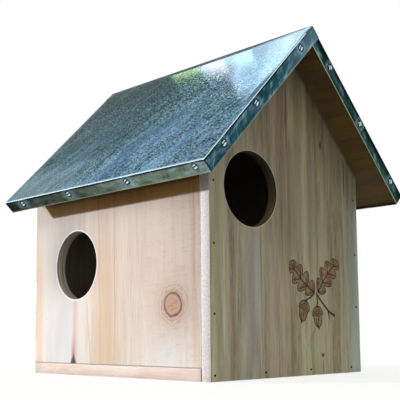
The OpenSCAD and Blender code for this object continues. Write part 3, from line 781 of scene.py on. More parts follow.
def material(name):
    """The material of that name, made the first time that it is asked for"""
    if name not in MATERIALS:
        MATERIALS[name] = new_material(name, RECIPES[name])
    return MATERIALS[name]


def look(pale, brown, seed, pith, spacing, lines, fibres, bands):
    """Inputs of the pine figure: its colours, where its pith lies and how strong its marks are"""
    return {
        "Pale": pale, "Brown": brown, "Seed": float(seed), "Pith_X": pith[0], "Pith_Y": pith[1],
        "Spacing": spacing, "Lines": lines, "Fibres": fibres, "Bands": bands,
    }


def left_wall_pine(g):
    """Glued staves with one large knot, rusty streaks and a loose knot at the foot, with painted light
    that fades up the wall, a painted highlight round the entrance and painted shadow under the eaves
    """
    paint = colours()
    tan = colour(222, 190, 148)
    rust = colour(196, 138, 112)
    white = colour(246, 242, 238)
    brown = colour(170, 128, 96)
    pink = colour(226, 192, 182)
    lilac = colour(236, 238, 245)
    cream = colour(252, 240, 230)
    base, height, board = pine_layers(
        g, (Y, X, Z),
        look(paint.wall_pale, paint.wall_brown, 1, (-40.0, 70.0), 9.0, 0.10, 0.34, 0.24),
        knots=((-82.0, 73.0, 12.5, False),),
        tones=(-122.0, 163.0, (
            (-122.0, colour(255, 252, 248)), (-36.0, colour(249, 245, 242)),
            (50.0, colour(255, 255, 255)), (146.0, colour(252, 244, 232)),
        )),
        streaks=(
            ((108.0, 60.0, -20.0, 175.0, 0.0, 8.0, 50.0), lilac, 0.80),
            ((-104.0, 26.0, 84.0, 180.0, 0.0, 6.0, 30.0), cream, 0.60),
            ((-74.0, 60.0, -40.0, 60.0, 0.0, 6.0, 40.0), lilac, 0.65),
            ((-69.0, 34.0, 100.0, 200.0, 0.0, 6.0, 40.0), white, 0.35),
            ((26.0, 34.0, -20.0, 150.0, 0.02, 6.0, 90.0), tan, 0.75),
            ((50.0, 2.4, 0.0, 82.0, 0.14, 5.0, 12.0), brown, 0.30),
            ((35.0, 2.4, -10.0, 230.0, 0.02, 4.0, 30.0), rust, 0.40),
            ((10.0, 2.0, 30.0, 230.0, 0.01, 4.0, 60.0), rust, 0.50),
            ((-27.0, 4.0, 120.0, 190.0, 0.0, 6.0, 30.0), pink, 0.6),
            ((-112.0, 5.0, -20.0, 220.0, 0.0, 3.0, 30.0), tan, 0.4),
            ((-113.0, 2.0, 90.0, 220.0, 0.0, 3.0, 20.0), rust, 0.4),
            ((83.5, 6.5, 12.0, 84.0, -0.02, 2.0, 6.0), pink, 0.95),
            ((84.5, 6.0, 12.0, 36.0, 0.0, 2.0, 10.0), rust, 0.75),
            ((153.0, 8.0, -20.0, 150.0, 0.0, 4.0, 40.0), tan, 0.45),
            ((150.0, 16.0, 130.0, 230.0, 0.0, 4.0, 30.0), lilac, 0.5),
            ((-70.0, 60.0, 30.0, 190.0, 0.0, 6.0, 40.0), colour(255, 240, 226), 0.60),
        ),
    )
    base = curly(g, board, base, -30.0)
    y, _, z = g.split(board)
    # Painted light: the wall darkens up its height, as the light fell on it
    base = painted_light_by_height(g, base, z, (
        (14.0, (1, 1, 1)), (40.0, (0.88, 0.86, 0.86)), (62.0, (0.80, 0.77, 0.77)),
        (84.0, (0.75, 0.72, 0.70)), (106.0, (0.69, 0.63, 0.61)), (128.0, (0.69, 0.63, 0.61)),
        (150.0, (0.66, 0.61, 0.59)), (165.0, (0.61, 0.56, 0.54)), (177.0, (0.50, 0.45, 0.43)),
    ))
    base = tear_drop(g, base, y, z, 84.5, 13.5, 8.5, 4.0)
    side = OPENINGS["side_entrance"] / MM
    # Painted highlight: a white ring round the side entrance, where light catches its rim
    rim = g.smooth(distance(g, y, z, side.y, side.z), ENTRANCE_R / MM + 2.4, ENTRANCE_R / MM + 1.2)
    base = g.mix(g.times(rim, 0.75), base, white)
    base = g.mix(g.smooth(z, WALL_LOW.z / MM + 1.4, WALL_LOW.z / MM + 0.7), base, paint.seam)
    # Painted shadow under the eaves: browner and darker wood above the sun's shadow edge, but not in the
    # lit corner at the back
    lit = g.smooth(g.times_plus(z, -1.36, y), -117.0, -111.0)
    unlit = painted_eave_shade(g, base, z, 178.2, 181.4, (1.0, 0.68, 0.20))
    unlit = painted_eave_shade(g, unlit, z, 190.0, 194.5, (0.40, 0.40, 0.12))
    base = g.mix(lit, unlit, base)
    return wood(g, sanded_edges_and_highlight(g, base, white), height)


def distance(g, first, second, middle, height):
    """How far places lie from one point of a board"""
    gap = g.join(g.minus(first, middle), g.minus(second, height), 0.0)
    return g.measure("LENGTH", gap)


def tear_drop(g, base, across, up, middle, foot, tall, half):
    """A dark loose knot at the foot of a board, pointed at its top, with a rusty halo"""
    paint = colours()
    side = g.over(g.absolute(g.minus(across, middle)), half)
    rise = g.over(g.larger(g.minus(up, foot), 0.0), tall)
    reach = g.plus(side, rise)
    base = g.mix(g.times(g.smooth(reach, 2.1, 1.0), 0.55), base, paint.knot_swirl)
    base = g.mix(g.times(g.smooth(reach, 1.5, 1.0), 0.9), base, paint.bark)
    return g.mix(g.smooth(reach, 1.05, 0.85), base, paint.hollow)


def curly(g, board, base, edge):
    """Faint ripples across the grain, as curly figure has, on one side of a place across the board"""
    x = g.split(board)[0]
    ripple = g.noise(g.scaled(board, (0.09, 0.09, 0.34)), 1.0, 3, 0.7)
    amount = g.times(g.smooth(ripple, 0.50, 0.66), g.smooth(x, edge + 20.0, edge - 20.0))
    return g.mix(g.times(amount, 0.18), base, colours().wall_brown)


def plain_pine(seed, axes, pith, lines=0.28, fibres=0.3, knots=(), inside_shade=INSIDE_SHADE):
    """A recipe for a plainer board"""

    def build(g):
        grain = look(colours().wall_pale, colours().wall_brown, seed, pith, 4.5, lines, fibres, fibres)
        base, height, _ = pine_layers(g, axes, grain, knots)
        return wood(g, sanded_edges_and_highlight(g, base, colours().wall_pale), height, inside_shade=inside_shade)

    return build


def floor_pine(g):
    """Pinkish pine, with a dark seam against the front gable"""
    grain = look(colour(228, 210, 200), colour(196, 148, 124), 3, (130.0, 40.0), 4.5, 0.4, 0.3, 0.3)
    base, height, board = pine_layers(g, (X, Z, Y), grain)
    along = g.split(board)[2]
    base = g.shade(base, (0.84, 0.86, 0.87), g.smooth(along, 140.0, 160.0))
    seam = g.smooth(along, FLOOR_LOW.y / MM + 1.2, FLOOR_LOW.y / MM + 0.7)
    base = g.mix(seam, sanded_edges_and_highlight(g, base, colours().wall_pale), colours().seam)
    return wood(g, base, height)


def painted_eave_shade(g, base, height, first, last, tone):
    """Painted shade: a colour toned darker between two heights, in millimetres, where the roof keeps the
    light off
    """
    return g.shade(base, tone, g.smooth(height, first, last))


def painted_light_by_height(g, base, height, stops):
    """Painted light and shade: a colour toned by height, or by another distance; each stop pairs
    millimetres with a tone
    """
    low, high = stops[0][0], stops[-1][0]
    share = g.over(g.minus(height, low), high - low)
    tones = g.ramp(share, [((place - low) / (high - low), tone) for place, tone in stops])
    return g.tinted(base, tones)


def gable_layers(g):
    """Colour and height of the front gable, with painted light and shade, which also show through the
    burnt sprig
    """
    grey = colour(196, 192, 184)
    teal = colour(176, 194, 180)
    brown = colour(150, 118, 80)
    dark = colour(96, 78, 58)
    tan = colour(196, 186, 146)
    pale = colour(246, 240, 212)
    base, height, board = pine_layers(
        g, (X, Y, Z),
        look(colours().gable_pale, colours().gable_brown, 4, (-14.0, 46.0), 9.0, 0.08, 0.45, 0.50),
        knots=((49.5, 20.5, 1.9, True),),
        tones=(-117.0, 117.0, (
            (-117.0, colour(250, 250, 236)), (-97.0, colour(238, 232, 226)),
            (-47.0, colour(232, 222, 214)), (0.0, colour(246, 244, 226)),
            (30.0, colour(228, 222, 208)), (93.8, colour(236, 246, 238)),
        )),
        streaks=(
            ((-60.0, 20.0, -20.0, 140.0, 0.0, 6.0, 40.0), grey, 0.55),
            ((-32.0, 9.0, -20.0, 140.0, 0.0, 4.0, 30.0), pale, 0.45),
            ((-72.0, 9.0, -20.0, 60.0, 0.0, 4.0, 30.0), pale, 0.50),
            ((-53.0, 5.0, 60.0, 146.0, 0.0, 4.0, 20.0), colour(222, 220, 214), 0.6),
            ((-46.0, 1.6, 90.0, 150.0, 0.0, 3.0, 16.0), dark, 0.5),
            ((-106.0, 9.0, -20.0, 200.0, 0.0, 4.0, 40.0), tan, 0.6),
            ((12.0, 14.0, 120.0, 320.0, 0.0, 5.0, 50.0), tan, 0.5),
            ((0.0, 5.0, -20.0, 70.0, 0.0, 4.0, 30.0), brown, 0.7),
            ((-4.0, 2.0, 236.0, 304.0, 0.0, 2.0, 12.0), dark, 0.75),
            ((-5.0, 3.0, 262.0, 274.0, 0.0, 0.0, 8.0), dark, 0.6),
            ((93.8, 1.8, 196.0, 236.0, 0.0, 2.0, 8.0), colour(40, 32, 24), 0.9),
            ((100.0, 2.4, 180.0, 226.0, 0.0, 2.0, 10.0), dark, 0.5),
            ((53.0, 2.9, 244.0, 252.0, 0.0, 0.0, 3.5), colour(34, 26, 18), 1.0),
            ((-52.0, 5.0, 228.0, 240.0, 0.0, 2.0, 12.0), dark, 0.45),
            ((38.0, 9.0, 160.0, 330.0, 0.0, 6.0, 40.0), dark, 0.22),
            ((97.0, 6.0, 110.0, 230.0, 0.0, 4.0, 25.0), brown, 0.35),
            ((-14.0, 12.0, 110.0, 250.0, 0.0, 6.0, 30.0), brown, 0.42),
            ((2.0, 11.0, 120.0, 250.0, 0.0, 4.0, 20.0), brown, 0.50),
            ((31.0, 9.0, 110.0, 225.0, 0.0, 5.0, 25.0), brown, 0.40),
            ((-88.0, 6.0, -20.0, 200.0, 0.0, 6.0, 40.0), brown, 0.35),
            ((106.0, 14.0, -20.0, 160.0, 0.0, 3.0, 50.0), teal, 0.85),
            ((104.0, 8.0, -20.0, 50.0, 0.0, 3.0, 30.0), pale, 0.40),
            ((108.0, 10.0, -20.0, 50.0, 0.0, 3.0, 40.0), colour(214, 236, 226), 0.50),
            ((-56.0, 8.0, -20.0, 14.0, 0.0, 3.0, 14.0), pale, 0.55),
            ((24.8, 0.7, 30.0, 50.0, 0.70, 1.0, 2.0), colour(70, 52, 36), 0.8),
            ((50.0, 1.5, 0.0, 16.0, 0.0, 1.0, 5.0), dark, 0.6),
            ((52.5, 1.2, 215.0, 244.0, 0.0, 1.0, 12.0), dark, 0.5),
        ),
    )
    x, y, z = g.split(board)
    # Painted light and shade: the gable darkens from its foot up towards the roof, as the light fell on it
    base = painted_light_by_height(g, base, z, (
        (0.0, (1, 1, 1)), (34.0, (0.96, 0.96, 0.96)), (60.0, (0.89, 0.89, 0.89)),
        (112.0, (0.80, 0.80, 0.80)), (150.0, (0.76, 0.76, 0.77)), (190.0, (0.80, 0.80, 0.80)),
        (216.0, (0.84, 0.84, 0.84)), (268.0, (0.88, 0.88, 0.88)),
    ))
    # Painted shade from the overhanging roof, darker towards the top
    base = painted_eave_shade(g, base, z, 90.0, 330.0, (0.58, 0.54, 0.48))
    # Painted shade in a band just below the roof boards
    below = g.minus(GABLE_HIGH.z / MM, g.times_plus(g.absolute(x), math.tan(PITCH), z))
    base = g.shade(base, (0.30, 0.26, 0.20), g.smooth(below, 8.0, 0.0))
    half = GABLE_HIGH.x / MM
    sides = g.smooth(g.absolute(x), half - 0.8, half - 0.2)
    speckle = g.noise(g.scaled(board, (0.0, 0.55, 0.40)), 1.0, 3, 0.75)
    edge = g.mix(g.smooth(speckle, 0.36, 0.60), colour(192, 182, 186), colour(222, 216, 220))
    return g.mix(g.times(sides, 0.95), base, edge), height


def gable_pine(g):
    """The front gable's own wood"""
    base, height = gable_layers(g)
    return wood(g, sanded_edges_and_highlight(g, base, colour(240, 232, 214), 0.6), height)


def roof_board_pine(side):
    """A recipe for one weathered roof board, with its grain along the roof, its wood darkened with painted
    shade as it faces down under the roof
    """

    def build(g):
        pale, brown = colours().shaded_soffit_pale, colours().shaded_soffit_brown
        grain = look(pale, brown, 6 + side, (90.0, 50.0), 9.0, 0.15, 0.35, 0.45)
        base, height, board = pine_layers(g, (X, Z, Y), grain, tilt=side * PITCH)
        weathered = g.smooth(g.noise(g.scaled(board, (0.03, 0.03, 0.018)), 1.0, 2), 0.36, 0.60)
        base = g.mix(weathered, g.tinted(base, (0.62, 0.58, 0.54)), base)
        # Painted shade along the board's eave edge and where it meets the gable
        place = g.place()
        down = g.measure("DOT_PRODUCT", place, tuple(down_slope(side)))
        foot = SLOPE_LEN - RIDGE * math.sin(PITCH)
        rim = g.smooth(down, foot - 5 * MM, foot - 2.5 * MM)
        y = g.split(place)[1]
        shade_by_gable = g.smooth(g.absolute(g.minus(y, GABLE_LOW.y)), 9 * MM, 0.0)
        base = g.mix(g.larger(rim, g.times(shade_by_gable, 0.7)), base, colours().cavity_shade)
        return wood(g, sanded_edges_and_highlight(g, base, colours().shaded_soffit_pale, 0.3), height, 0.7)

    return build


def burnt_sprig(g):
    """The gable's wood, scorched inside the shapes and burnt along their rims and lines"""
    paint = colours()
    base, height = gable_layers(g)
    burn = g.attribute("burn")
    board = board_vector(g, X, Y, Z)
    stipple = g.smooth(g.noise(board, 1.1, 3, 0.7), 0.46, 0.58)
    shaded = g.smooth(g.noise(board, 0.12, 2), 0.38, 0.62)
    fill = g.mix(g.times_plus(shaded, 0.40, 0.45), base, paint.scorched)
    fill = g.mix(g.times(stipple, g.times_plus(shaded, 0.45, 0.20)), fill, paint.burnt)
    line = g.mix(g.times(stipple, 0.20), paint.burnt, paint.scorched)
    dark = g.smooth(burn, 0.45, 0.55)
    return wood(g, g.mix(dark, fill, line), height, 0.75)


# The rolling direction, along which the zinc's clouds are drawn out
STREAK_WAY = Vector((0.583, -0.54, 0.604))


def zinc_group():
    """Mottled zinc: fine grain and clouds drawn out along the rolling direction"""

    def build(g, given):
        turn = STREAK_WAY.to_track_quat("Z", "Y").inverted().to_euler()
        inputs = {"Vector": g.place(), "Rotation": tuple(turn)}
        rolled = g.add("ShaderNodeMapping", inputs, vector_type="POINT").outputs[0]
        rolled = g.scaled(rolled, (1000, 1000, 1000))
        grain = g.noise(g.scaled(rolled, (0.28, 0.28, 0.45)), 1.0, 3, 0.8)
        patches = g.noise(g.scaled(rolled, (0.07, 0.07, 0.028)), 1.0, 3, 0.6)
        bands = g.noise(g.scaled(rolled, (0.035, 0.035, 0.009)), 1.0, 3, 0.5)
        drawn = g.noise(g.scaled(rolled, (0.22, 0.22, 0.045)), 1.0, 2, 0.6)
        coarse = g.times_plus(patches, 0.20, g.times(bands, 0.08))
        coarse = g.times_plus(drawn, 0.16, coarse)
        return {
            "Level": g.times_plus(grain, 0.56, coarse), "Grain": grain, "Patches": patches,
            "Bands": bands,
        }

    return shader_group("zinc_mottle", {}, floats("Level", "Grain", "Patches", "Bands"), build)


def roof_zinc(g):
    """The slopes: mottled, with blue bands and a pale bloom by the eaves, painted shade near the ridge and
    towards the back, a painted highlight along the left eave fold and painted sheen near the front of the
    ridge
    """
    paint = colours()
    zinc = g.group(zinc_group())
    x, y, z = g.split(g.place_mm())
    base = g.ramp(zinc["Level"], (
        (0.43, paint.zinc_dark), (0.48, paint.zinc_middle), (0.525, paint.zinc_pale),
        (0.58, paint.zinc_fleck),
    ))
    down = g.times(g.absolute(x), 1 / math.cos(PITCH))
    along = g.times(g.plus(y, 14.0), 0.848)
    across = g.times(g.minus(down, 204.0), 0.530)
    off_band = g.times_plus(g.minus(zinc["Bands"], 0.5), 60.0, g.minus(along, across))
    blue = g.smooth(g.absolute(off_band), 34.0, 2.0)
    blue = g.larger(blue, g.smooth(zinc["Bands"], 0.52, 0.66))
    base = g.mix(g.times(blue, 0.40), base, paint.zinc_blue)
    near_eave = g.times(g.smooth(down, 150.0, 200.0), g.smooth(y, 0.0, 110.0))
    base = g.mix(g.times(near_eave, 0.55), base, paint.zinc_bloom)
    # Painted shade: the slope darkens towards the ridge, and towards the back away from the eaves
    base = painted_light_by_height(g, base, down, (
        (20.0, (0.22, 0.36, 0.33)), (58.0, (0.30, 0.45, 0.42)), (81.0, (0.45, 0.54, 0.50)),
        (104.0, (0.70, 0.74, 0.66)), (127.0, (0.70, 0.74, 0.71)), (150.0, (0.92, 0.95, 0.93)),
        (173.0, (1, 1, 1)),
    ))
    shade_behind = g.times(g.smooth(y, -45.0, 20.0), g.smooth(down, 188.0, 155.0))
    base = g.shade(base, (0.60, 0.69, 0.65), shade_behind)
    corner = g.times(g.smooth(y, -90.0, -130.0), g.smooth(down, 150.0, 185.0))
    base = g.shade(base, (0.82, 0.78, 0.78), corner)
    speck = g.smooth(zinc["Grain"], 0.38, 0.62, 0.36, 1.8)
    left = g.smooth(x, 0.0, -3.0)
    base = g.shade(base, speck, g.times(left, g.smooth(down, 140.0, 70.0)))
    # Painted sheen: smoother zinc painted where the front of the ridge mirrors the bright lamps
    reach = g.times_plus(down, 1.15, y)
    sheen_zone = g.times(g.smooth(reach, 25.0, -35.0), g.smooth(down, 165.0, 110.0))
    base = g.mix(g.times(sheen_zone, g.times(left, 0.74)), base, paint.sheen_zinc)
    # Painted highlight: near-white zinc on the slope along the left eave fold, where the fold catches the
    # light
    fold = g.times(g.smooth(down, SLOPE_LEN / MM - 2.8, SLOPE_LEN / MM - 1.4), left)
    base = g.mix(g.times(fold, 0.85), base, paint.rake_fold_highlight)
    rough = g.smooth(zinc["Grain"], 0.3, 0.7, 0.05, 0.08)
    return {
        "Base Color": base, "Metallic": 1.0, "Roughness": rough, "Specular Tint": (0.5, 0.5, 0.5),
        "bump": (zinc["Grain"], 0.05, 0.03 * MM),
    }


def flange_zinc(g):
    """Duller zinc: olive on the eaves, teal on the left rakes and green on the right ones, with dirt and
    painted shade under the folds and in the pin dents, and a painted highlight on the dents' rims
    """
    paint = colours()
    x, y, z = g.split(g.place_mm())
    out = g.absolute(x)
    drop = g.minus(RIDGE / MM, g.times_plus(out, math.tan(PITCH), z))
    depth = g.times(drop, math.cos(PITCH))
    rake = g.smooth(g.absolute(y), 168.0, 168.6)
    eave = g.smooth(rake, 1.0, 0.0)
    fallen = g.times(g.minus(RIDGE / MM, z), math.cos(PITCH))
    from_left = g.times_plus(x, math.sin(PITCH), fallen)
    right = g.times(rake, g.smooth(from_left, FLANGE / MM - 0.2, FLANGE / MM + 0.2))
    run = g.mix(rake, g.join(y, 0.0, 0.0), g.join(g.times(x, 1 / math.cos(PITCH)), 0.0, 0.0))
    run = g.split(run)[0]
    rake_tone = g.mix(right, paint.left_rake_zinc, paint.right_rake_zinc)
    tone = g.mix(rake, paint.eave_zinc, rake_tone)
    brush = g.noise(g.join(g.times(run, 0.55), g.times(depth, 0.10), rake), 1.0, 3, 0.7)
    cloud = g.noise(g.join(g.times(run, 0.05), g.times(depth, 0.12), rake), 1.0, 3, 0.6)
    marks = g.plus(g.times(brush, g.times_plus(rake, 0.12, 0.2)), g.times(cloud, 0.5))
    middle = g.times_plus(rake, 0.06, 0.35)
    dark = g.tinted(tone, (0.42, 0.50, 0.54))
    pale = g.mix(0.35, tone, paint.zinc_fleck)
    base = g.mix(g.smooth(g.minus(marks, middle), -0.08, 0.0), dark, tone)
    base = g.mix(g.smooth(g.minus(marks, middle), 0.0, 0.13), base, pale)
    # Painted shade just under the folds
    shade_under_fold = g.smooth(depth, 3.4, 1.6)
    outer = g.times(right, g.smooth(depth, 8.5, 3.5))
    base = g.mix(g.times(g.larger(shade_under_fold, outer), 0.92), base, paint.grime_and_shade)
    backwards = g.times(g.smooth(y, -60.0, 70.0), eave)
    base = g.shade(base, (0.40, 0.38, 0.34), backwards)
    end = g.times(g.smooth(y, 142.0, 164.0), eave)
    base = g.mix(g.times(end, 0.85), base, paint.grime_and_shade)
    peak = g.times(g.smooth(out, 60.0, 5.0), g.minus(rake, right))
    base = g.mix(g.times(peak, 0.12), base, paint.zinc_fleck)
    lip = g.smooth(depth, FLANGE / MM - 1.5, FLANGE / MM - 0.7)
    lip = g.times(lip, g.times_plus(right, 0.40, 0.45))
    lapped = g.smooth(g.absolute(g.minus(from_left, FLANGE / MM - 0.5)), 0.7, 0.1)
    lip = g.larger(lip, g.times(lapped, g.times(rake, g.smooth(x, 0.5, 1.5, 0.0, 0.4))))
    base = g.mix(lip, base, paint.flange_lip)
    level_run = g.times(out, 1 / math.cos(PITCH))
    at_front = g.times(eave, g.smooth(y, ROOF_FRONT / MM + 1.8, ROOF_FRONT / MM + 0.8))
    at_foot = g.times(rake, g.smooth(level_run, SLOPE_LEN / MM - 1.8, SLOPE_LEN / MM - 0.8))
    base = g.mix(g.larger(at_front, at_foot), base, paint.grime_and_shade)
    # Painted highlight on the dents' raised rims, and dirt with painted shade in the dents
    base = g.mix(g.times(g.attribute("scuff_and_highlight"), 0.22), base, paint.zinc_fleck)
    base = g.mix(g.times(g.attribute("dent"), 0.7), base, paint.grime_and_shade)
    return {
        "Base Color": base, "Metallic": 1.0, "Roughness": 0.30, "Specular Tint": (0.5, 0.5, 0.5),
        "bump": (brush, 0.2, 0.1 * MM),
    }


def fold_zinc(g):
    """Polished zinc painted pale along the left folds to draw their highlight, and dirt with painted shade
    along the right ones
    """
    paint = colours()
    zinc = g.group(zinc_group())
    x, y, z = g.split(g.place())
    rake = g.smooth(g.absolute(y), abs(ROOF_BACK) - 2 * MM, abs(ROOF_BACK) - 1 * MM)
    bright = g.mix(rake, paint.fold_zinc, paint.rake_fold_highlight)
    base = g.mix(g.smooth(zinc["Patches"], 0.22, 0.36), paint.zinc_pale, bright)
    base = g.mix(g.smooth(x, 0.0, 2 * MM), base, paint.grime_and_shade)
    return {"Base Color": base, "Metallic": 1.0, "Roughness": 0.45}


def inner_zinc(g):
    """The inner faces of the flanges, painted near black with dirt and shade"""
    smear = g.noise(g.scaled(g.place(), (200, 200, 200)))
    base = g.mix(g.smooth(smear, 0.3, 0.7), colour(10, 10, 9), colours().cavity_shade)
    return {"Base Color": base, "Roughness": g.smooth(smear, 0.3, 0.7, 0.7, 0.9)}


def plated_steel(g):
    """Zinc plating, part dull and part bright"""
    smear = g.noise(g.scaled(g.place(), (500, 500, 160)), 1.0, 3, 0.6)
    dull = g.mix(0.45, colours().plated, colour(120, 118, 108))
    base = g.mix(g.smooth(smear, 0.4, 0.7), colours().plated, dull)
    rough = g.smooth(smear, 0.3, 0.7, 0.24, 0.42)
    return {"Base Color": base, "Metallic": 1.0, "Roughness": rough, "bump": (smear, 0.12, 0.05 * MM)}


def pin_steel(g):
    """Zinc-plated heads, painted with highlight strokes, and with dirt and painted shade on the rest of
    each head
    """
    base = g.mix(g.smooth(g.attribute("dent"), 0.2, 0.8), colours().head_highlight, colours().grime_and_shade)
    return {"Base Color": base, "Metallic": 1.0, "Roughness": 0.3}


def bare_steel(g):
    """Dark steel with a little rust"""
    rust = g.noise(g.scaled(g.place(), (900, 900, 900)), 1.0, 3, 0.6)
    base = g.mix(g.smooth(rust, 0.5, 0.72), colours().bare_steel, colour(84, 54, 34))
    return {"Base Color": base, "Metallic": 1.0, "Roughness": g.smooth(rust, 0.3, 0.7, 0.35, 0.6)}


# Knots: a place across and along the board, a radius, and whether the knot is dead
RIGHT_WALL_KNOTS = ((40.0, 150.0, 9.0, False), (-60.0, 60.0, 6.0, False))
REAR_KNOTS = ((0.0, 262.0, 7.0, False),)
DOOR_KNOTS = ((46.0, 120.0, 8.0, False),)
RECIPES = {
    "left_wall_pine": left_wall_pine,
    "right_wall_pine": plain_pine(2, (Y, X, Z), (30.0, 60.0), knots=RIGHT_WALL_KNOTS),
    "floor_pine": floor_pine,
    "rear_pine": plain_pine(5, (X, Y, Z), (10.0, 40.0), 0.4, 0.35, REAR_KNOTS),
    "door_pine": plain_pine(7, (X, Y, Z), (-30.0, 50.0), 0.35, 0.35, DOOR_KNOTS, INSIDE_SHADE_DOOR),
    "stop_pine": plain_pine(8, (Z, Y, X), (0.0, 30.0), 0.4, 0.4),
    "gable_pine": gable_pine,
    "left_roof_board_pine": roof_board_pine(-1),
    "right_roof_board_pine": roof_board_pine(1),
    "burnt_sprig": burnt_sprig,
    "roof_zinc": roof_zinc,
    "flange_zinc": flange_zinc,
    "fold_zinc": fold_zinc,
    "inner_zinc": inner_zinc,
    "plated_steel": plated_steel,
    "pin_steel": pin_steel,
    "bare_steel": bare_steel,
}


# Pieces

def middles_of(node):
    """The middle of each brad or nail of a node"""
    return [sum(corners, Vector()) / len(corners) for corners in solids_of(node)]


def pine_piece(node, bm, recipe, body="nest_box"):
    """A board that stands for its node"""
    mesh_piece(node + "_pine", bm, [material(recipe)], body, [node])


def rectangle(low, high, flat, at):
    """The corners of a box's outline in the plane that cuts one axis at this place"""
    first, second = (axis for axis in (X, Y, Z) if axis != flat)
    corners = []
    for near, far in ((low, low), (high, low), (high, high), (low, high)):
        corner = Vector()
        corner[flat], corner[first], corner[second] = at, near[first], far[second]
        corners.append(corner)
    return corners


def gable_outline(half, foot, y):
    """The five corners of a gable board"""
    peak = Vector((0, y, GABLE_HIGH.z))
    shoulder = soffit_z(half)
    return [
        Vector((-half, y, foot)), Vector((half, y, foot)), Vector((half, y, shoulder)),
        peak, Vector((-half, y, shoulder)),
    ]


class NESTBOX_OT_front_gable(bpy.types.Operator):
    """Make the front gable with its round entrance and the holes of its brads"""

    bl_idname = "nestbox.front_gable"
    bl_label = "Front gable"

    def execute(self, context):
        y = GABLE_LOW.y
        across, up = Vector((1, 0, 0)), Vector((0, 0, 1))
        entrance = OPENINGS["front_entrance"].copy()
        entrance.y = y
        holes = [ring_points(entrance, ENTRANCE_R, across, up, 96)]
        for node in ("front_wall_brads", "front_floor_brads"):
            for centre in middles_of(node):
                centre.y = y
                holes.append(ring_points(centre, BRAD_HOLE_R, across, up, 12))
        outline = gable_outline(GABLE_HIGH.x, GABLE_LOW.z, y)
        bm = board_mesh(outline, Vector((0, GABLE_HIGH.y - y, 0)), holes, seed=1, entrance=entrance)
        pine_piece("front_gable", bm, "gable_pine")
        return {"FINISHED"}


class NESTBOX_OT_walls(bpy.types.Operator):
    """Make the left wall with its round entrance, and the right wall"""

    bl_idname = "nestbox.walls"
    bl_label = "Walls"

    def execute(self, context):
        outer = WALL_LOW.x
        top = Vector((0, WALL_HIGH.y, soffit_z(outer)))
        corners = rectangle(WALL_LOW, top, X, outer)
        entrance = OPENINGS["side_entrance"].copy()
        entrance.x = outer
        hole = ring_points(entrance, ENTRANCE_R, Vector((0, 1, 0)), Vector((0, 0, 1)), 96)
        thick = WALL_HIGH.x - WALL_LOW.x
        bm = board_mesh(corners, Vector((thick, 0, 0)), [hole], seed=2, entrance=entrance)
        self.slope_top(bm, -1)
        pine_piece("left_wall", bm, "left_wall_pine")
        mirrored = [Vector((-p.x, p.y, p.z)) for p in corners]
        bm = board_mesh(mirrored, Vector((-thick, 0, 0)), seed=3)
        self.slope_top(bm, 1)
        pine_piece("right_wall", bm, "right_wall_pine")
        return {"FINISHED"}

    def slope_top(self, bm, side):
        """Raises the inner top edge so that the top follows the roof board"""
        top = soffit_z(GABLE_HIGH.x)
        for vert in bm.verts:
            if vert.co.z > top - 1.5 * MM:
                vert.co.z += (GABLE_HIGH.x - side * vert.co.x) * math.tan(PITCH)


class NESTBOX_OT_floor(bpy.types.Operator):
    """Make the floor board"""

    bl_idname = "nestbox.floor_board"
    bl_label = "Floor board"

    def execute(self, context):
        low, high = FLOOR_LOW, FLOOR_HIGH
        corners = rectangle(low, high, Z, low.z)
        holes = []
        for centre in middles_of("floor_nails"):
            centre.z = low.z
            holes.append(ring_points(centre, NAIL_HOLE_R, Vector((1, 0, 0)), Vector((0, 1, 0)), 16))
        bm = board_mesh(corners, Vector((0, 0, high.z - low.z)), holes, seed=4)
        pine_piece("floor_board", bm, "floor_pine")
        return {"FINISHED"}


class NESTBOX_OT_back(bpy.types.Operator):
    """Make the rear gable, the clean-out door and the strips that it closes against"""

    bl_idname = "nestbox.back"
    bl_label = "Back and door"

    def execute(self, context):
        y = REAR_HIGH.y
        inwards = Vector((0, REAR_LOW.y - y, 0))
        outline = gable_outline(REAR_HIGH.x, REAR_LOW.z, y)
        bm = board_mesh(outline, inwards, self.pockets(y), seed=5)
        pine_piece("rear_gable", bm, "rear_pine")
        for node, body, recipe, seed in (
            ("clean_out_door", "door", "door_pine", 6),
            ("head_stop", "nest_box", "stop_pine", 7),
            ("sill_stop", "nest_box", "stop_pine", 8),
        ):
            low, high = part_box(node)
            corners = rectangle(low, high, Y, high.y)
            bm = board_mesh(corners, Vector((0, low.y - high.y, 0)), seed=seed)
            pine_piece(node, bm, recipe, body=body)
        return {"FINISHED"}

    def pockets(self, y):
        """Outlines of the pockets behind the two keyholes"""
        outlines = []
        for side in SIDES:
            low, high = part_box(side + "_hanger_plate")
            middle = (low + high) / 2
            reach, travel = 5.5 * MM, 5 * MM
            turns = [math.pi * step / 12 for step in range(13)]
            points = [Vector((reach * math.cos(a), 0, travel + reach * math.sin(a))) for a in turns]
            points += [-p for p in points]
            outlines.append([Vector((middle.x, y, middle.z)) + p for p in points])
        return outlines


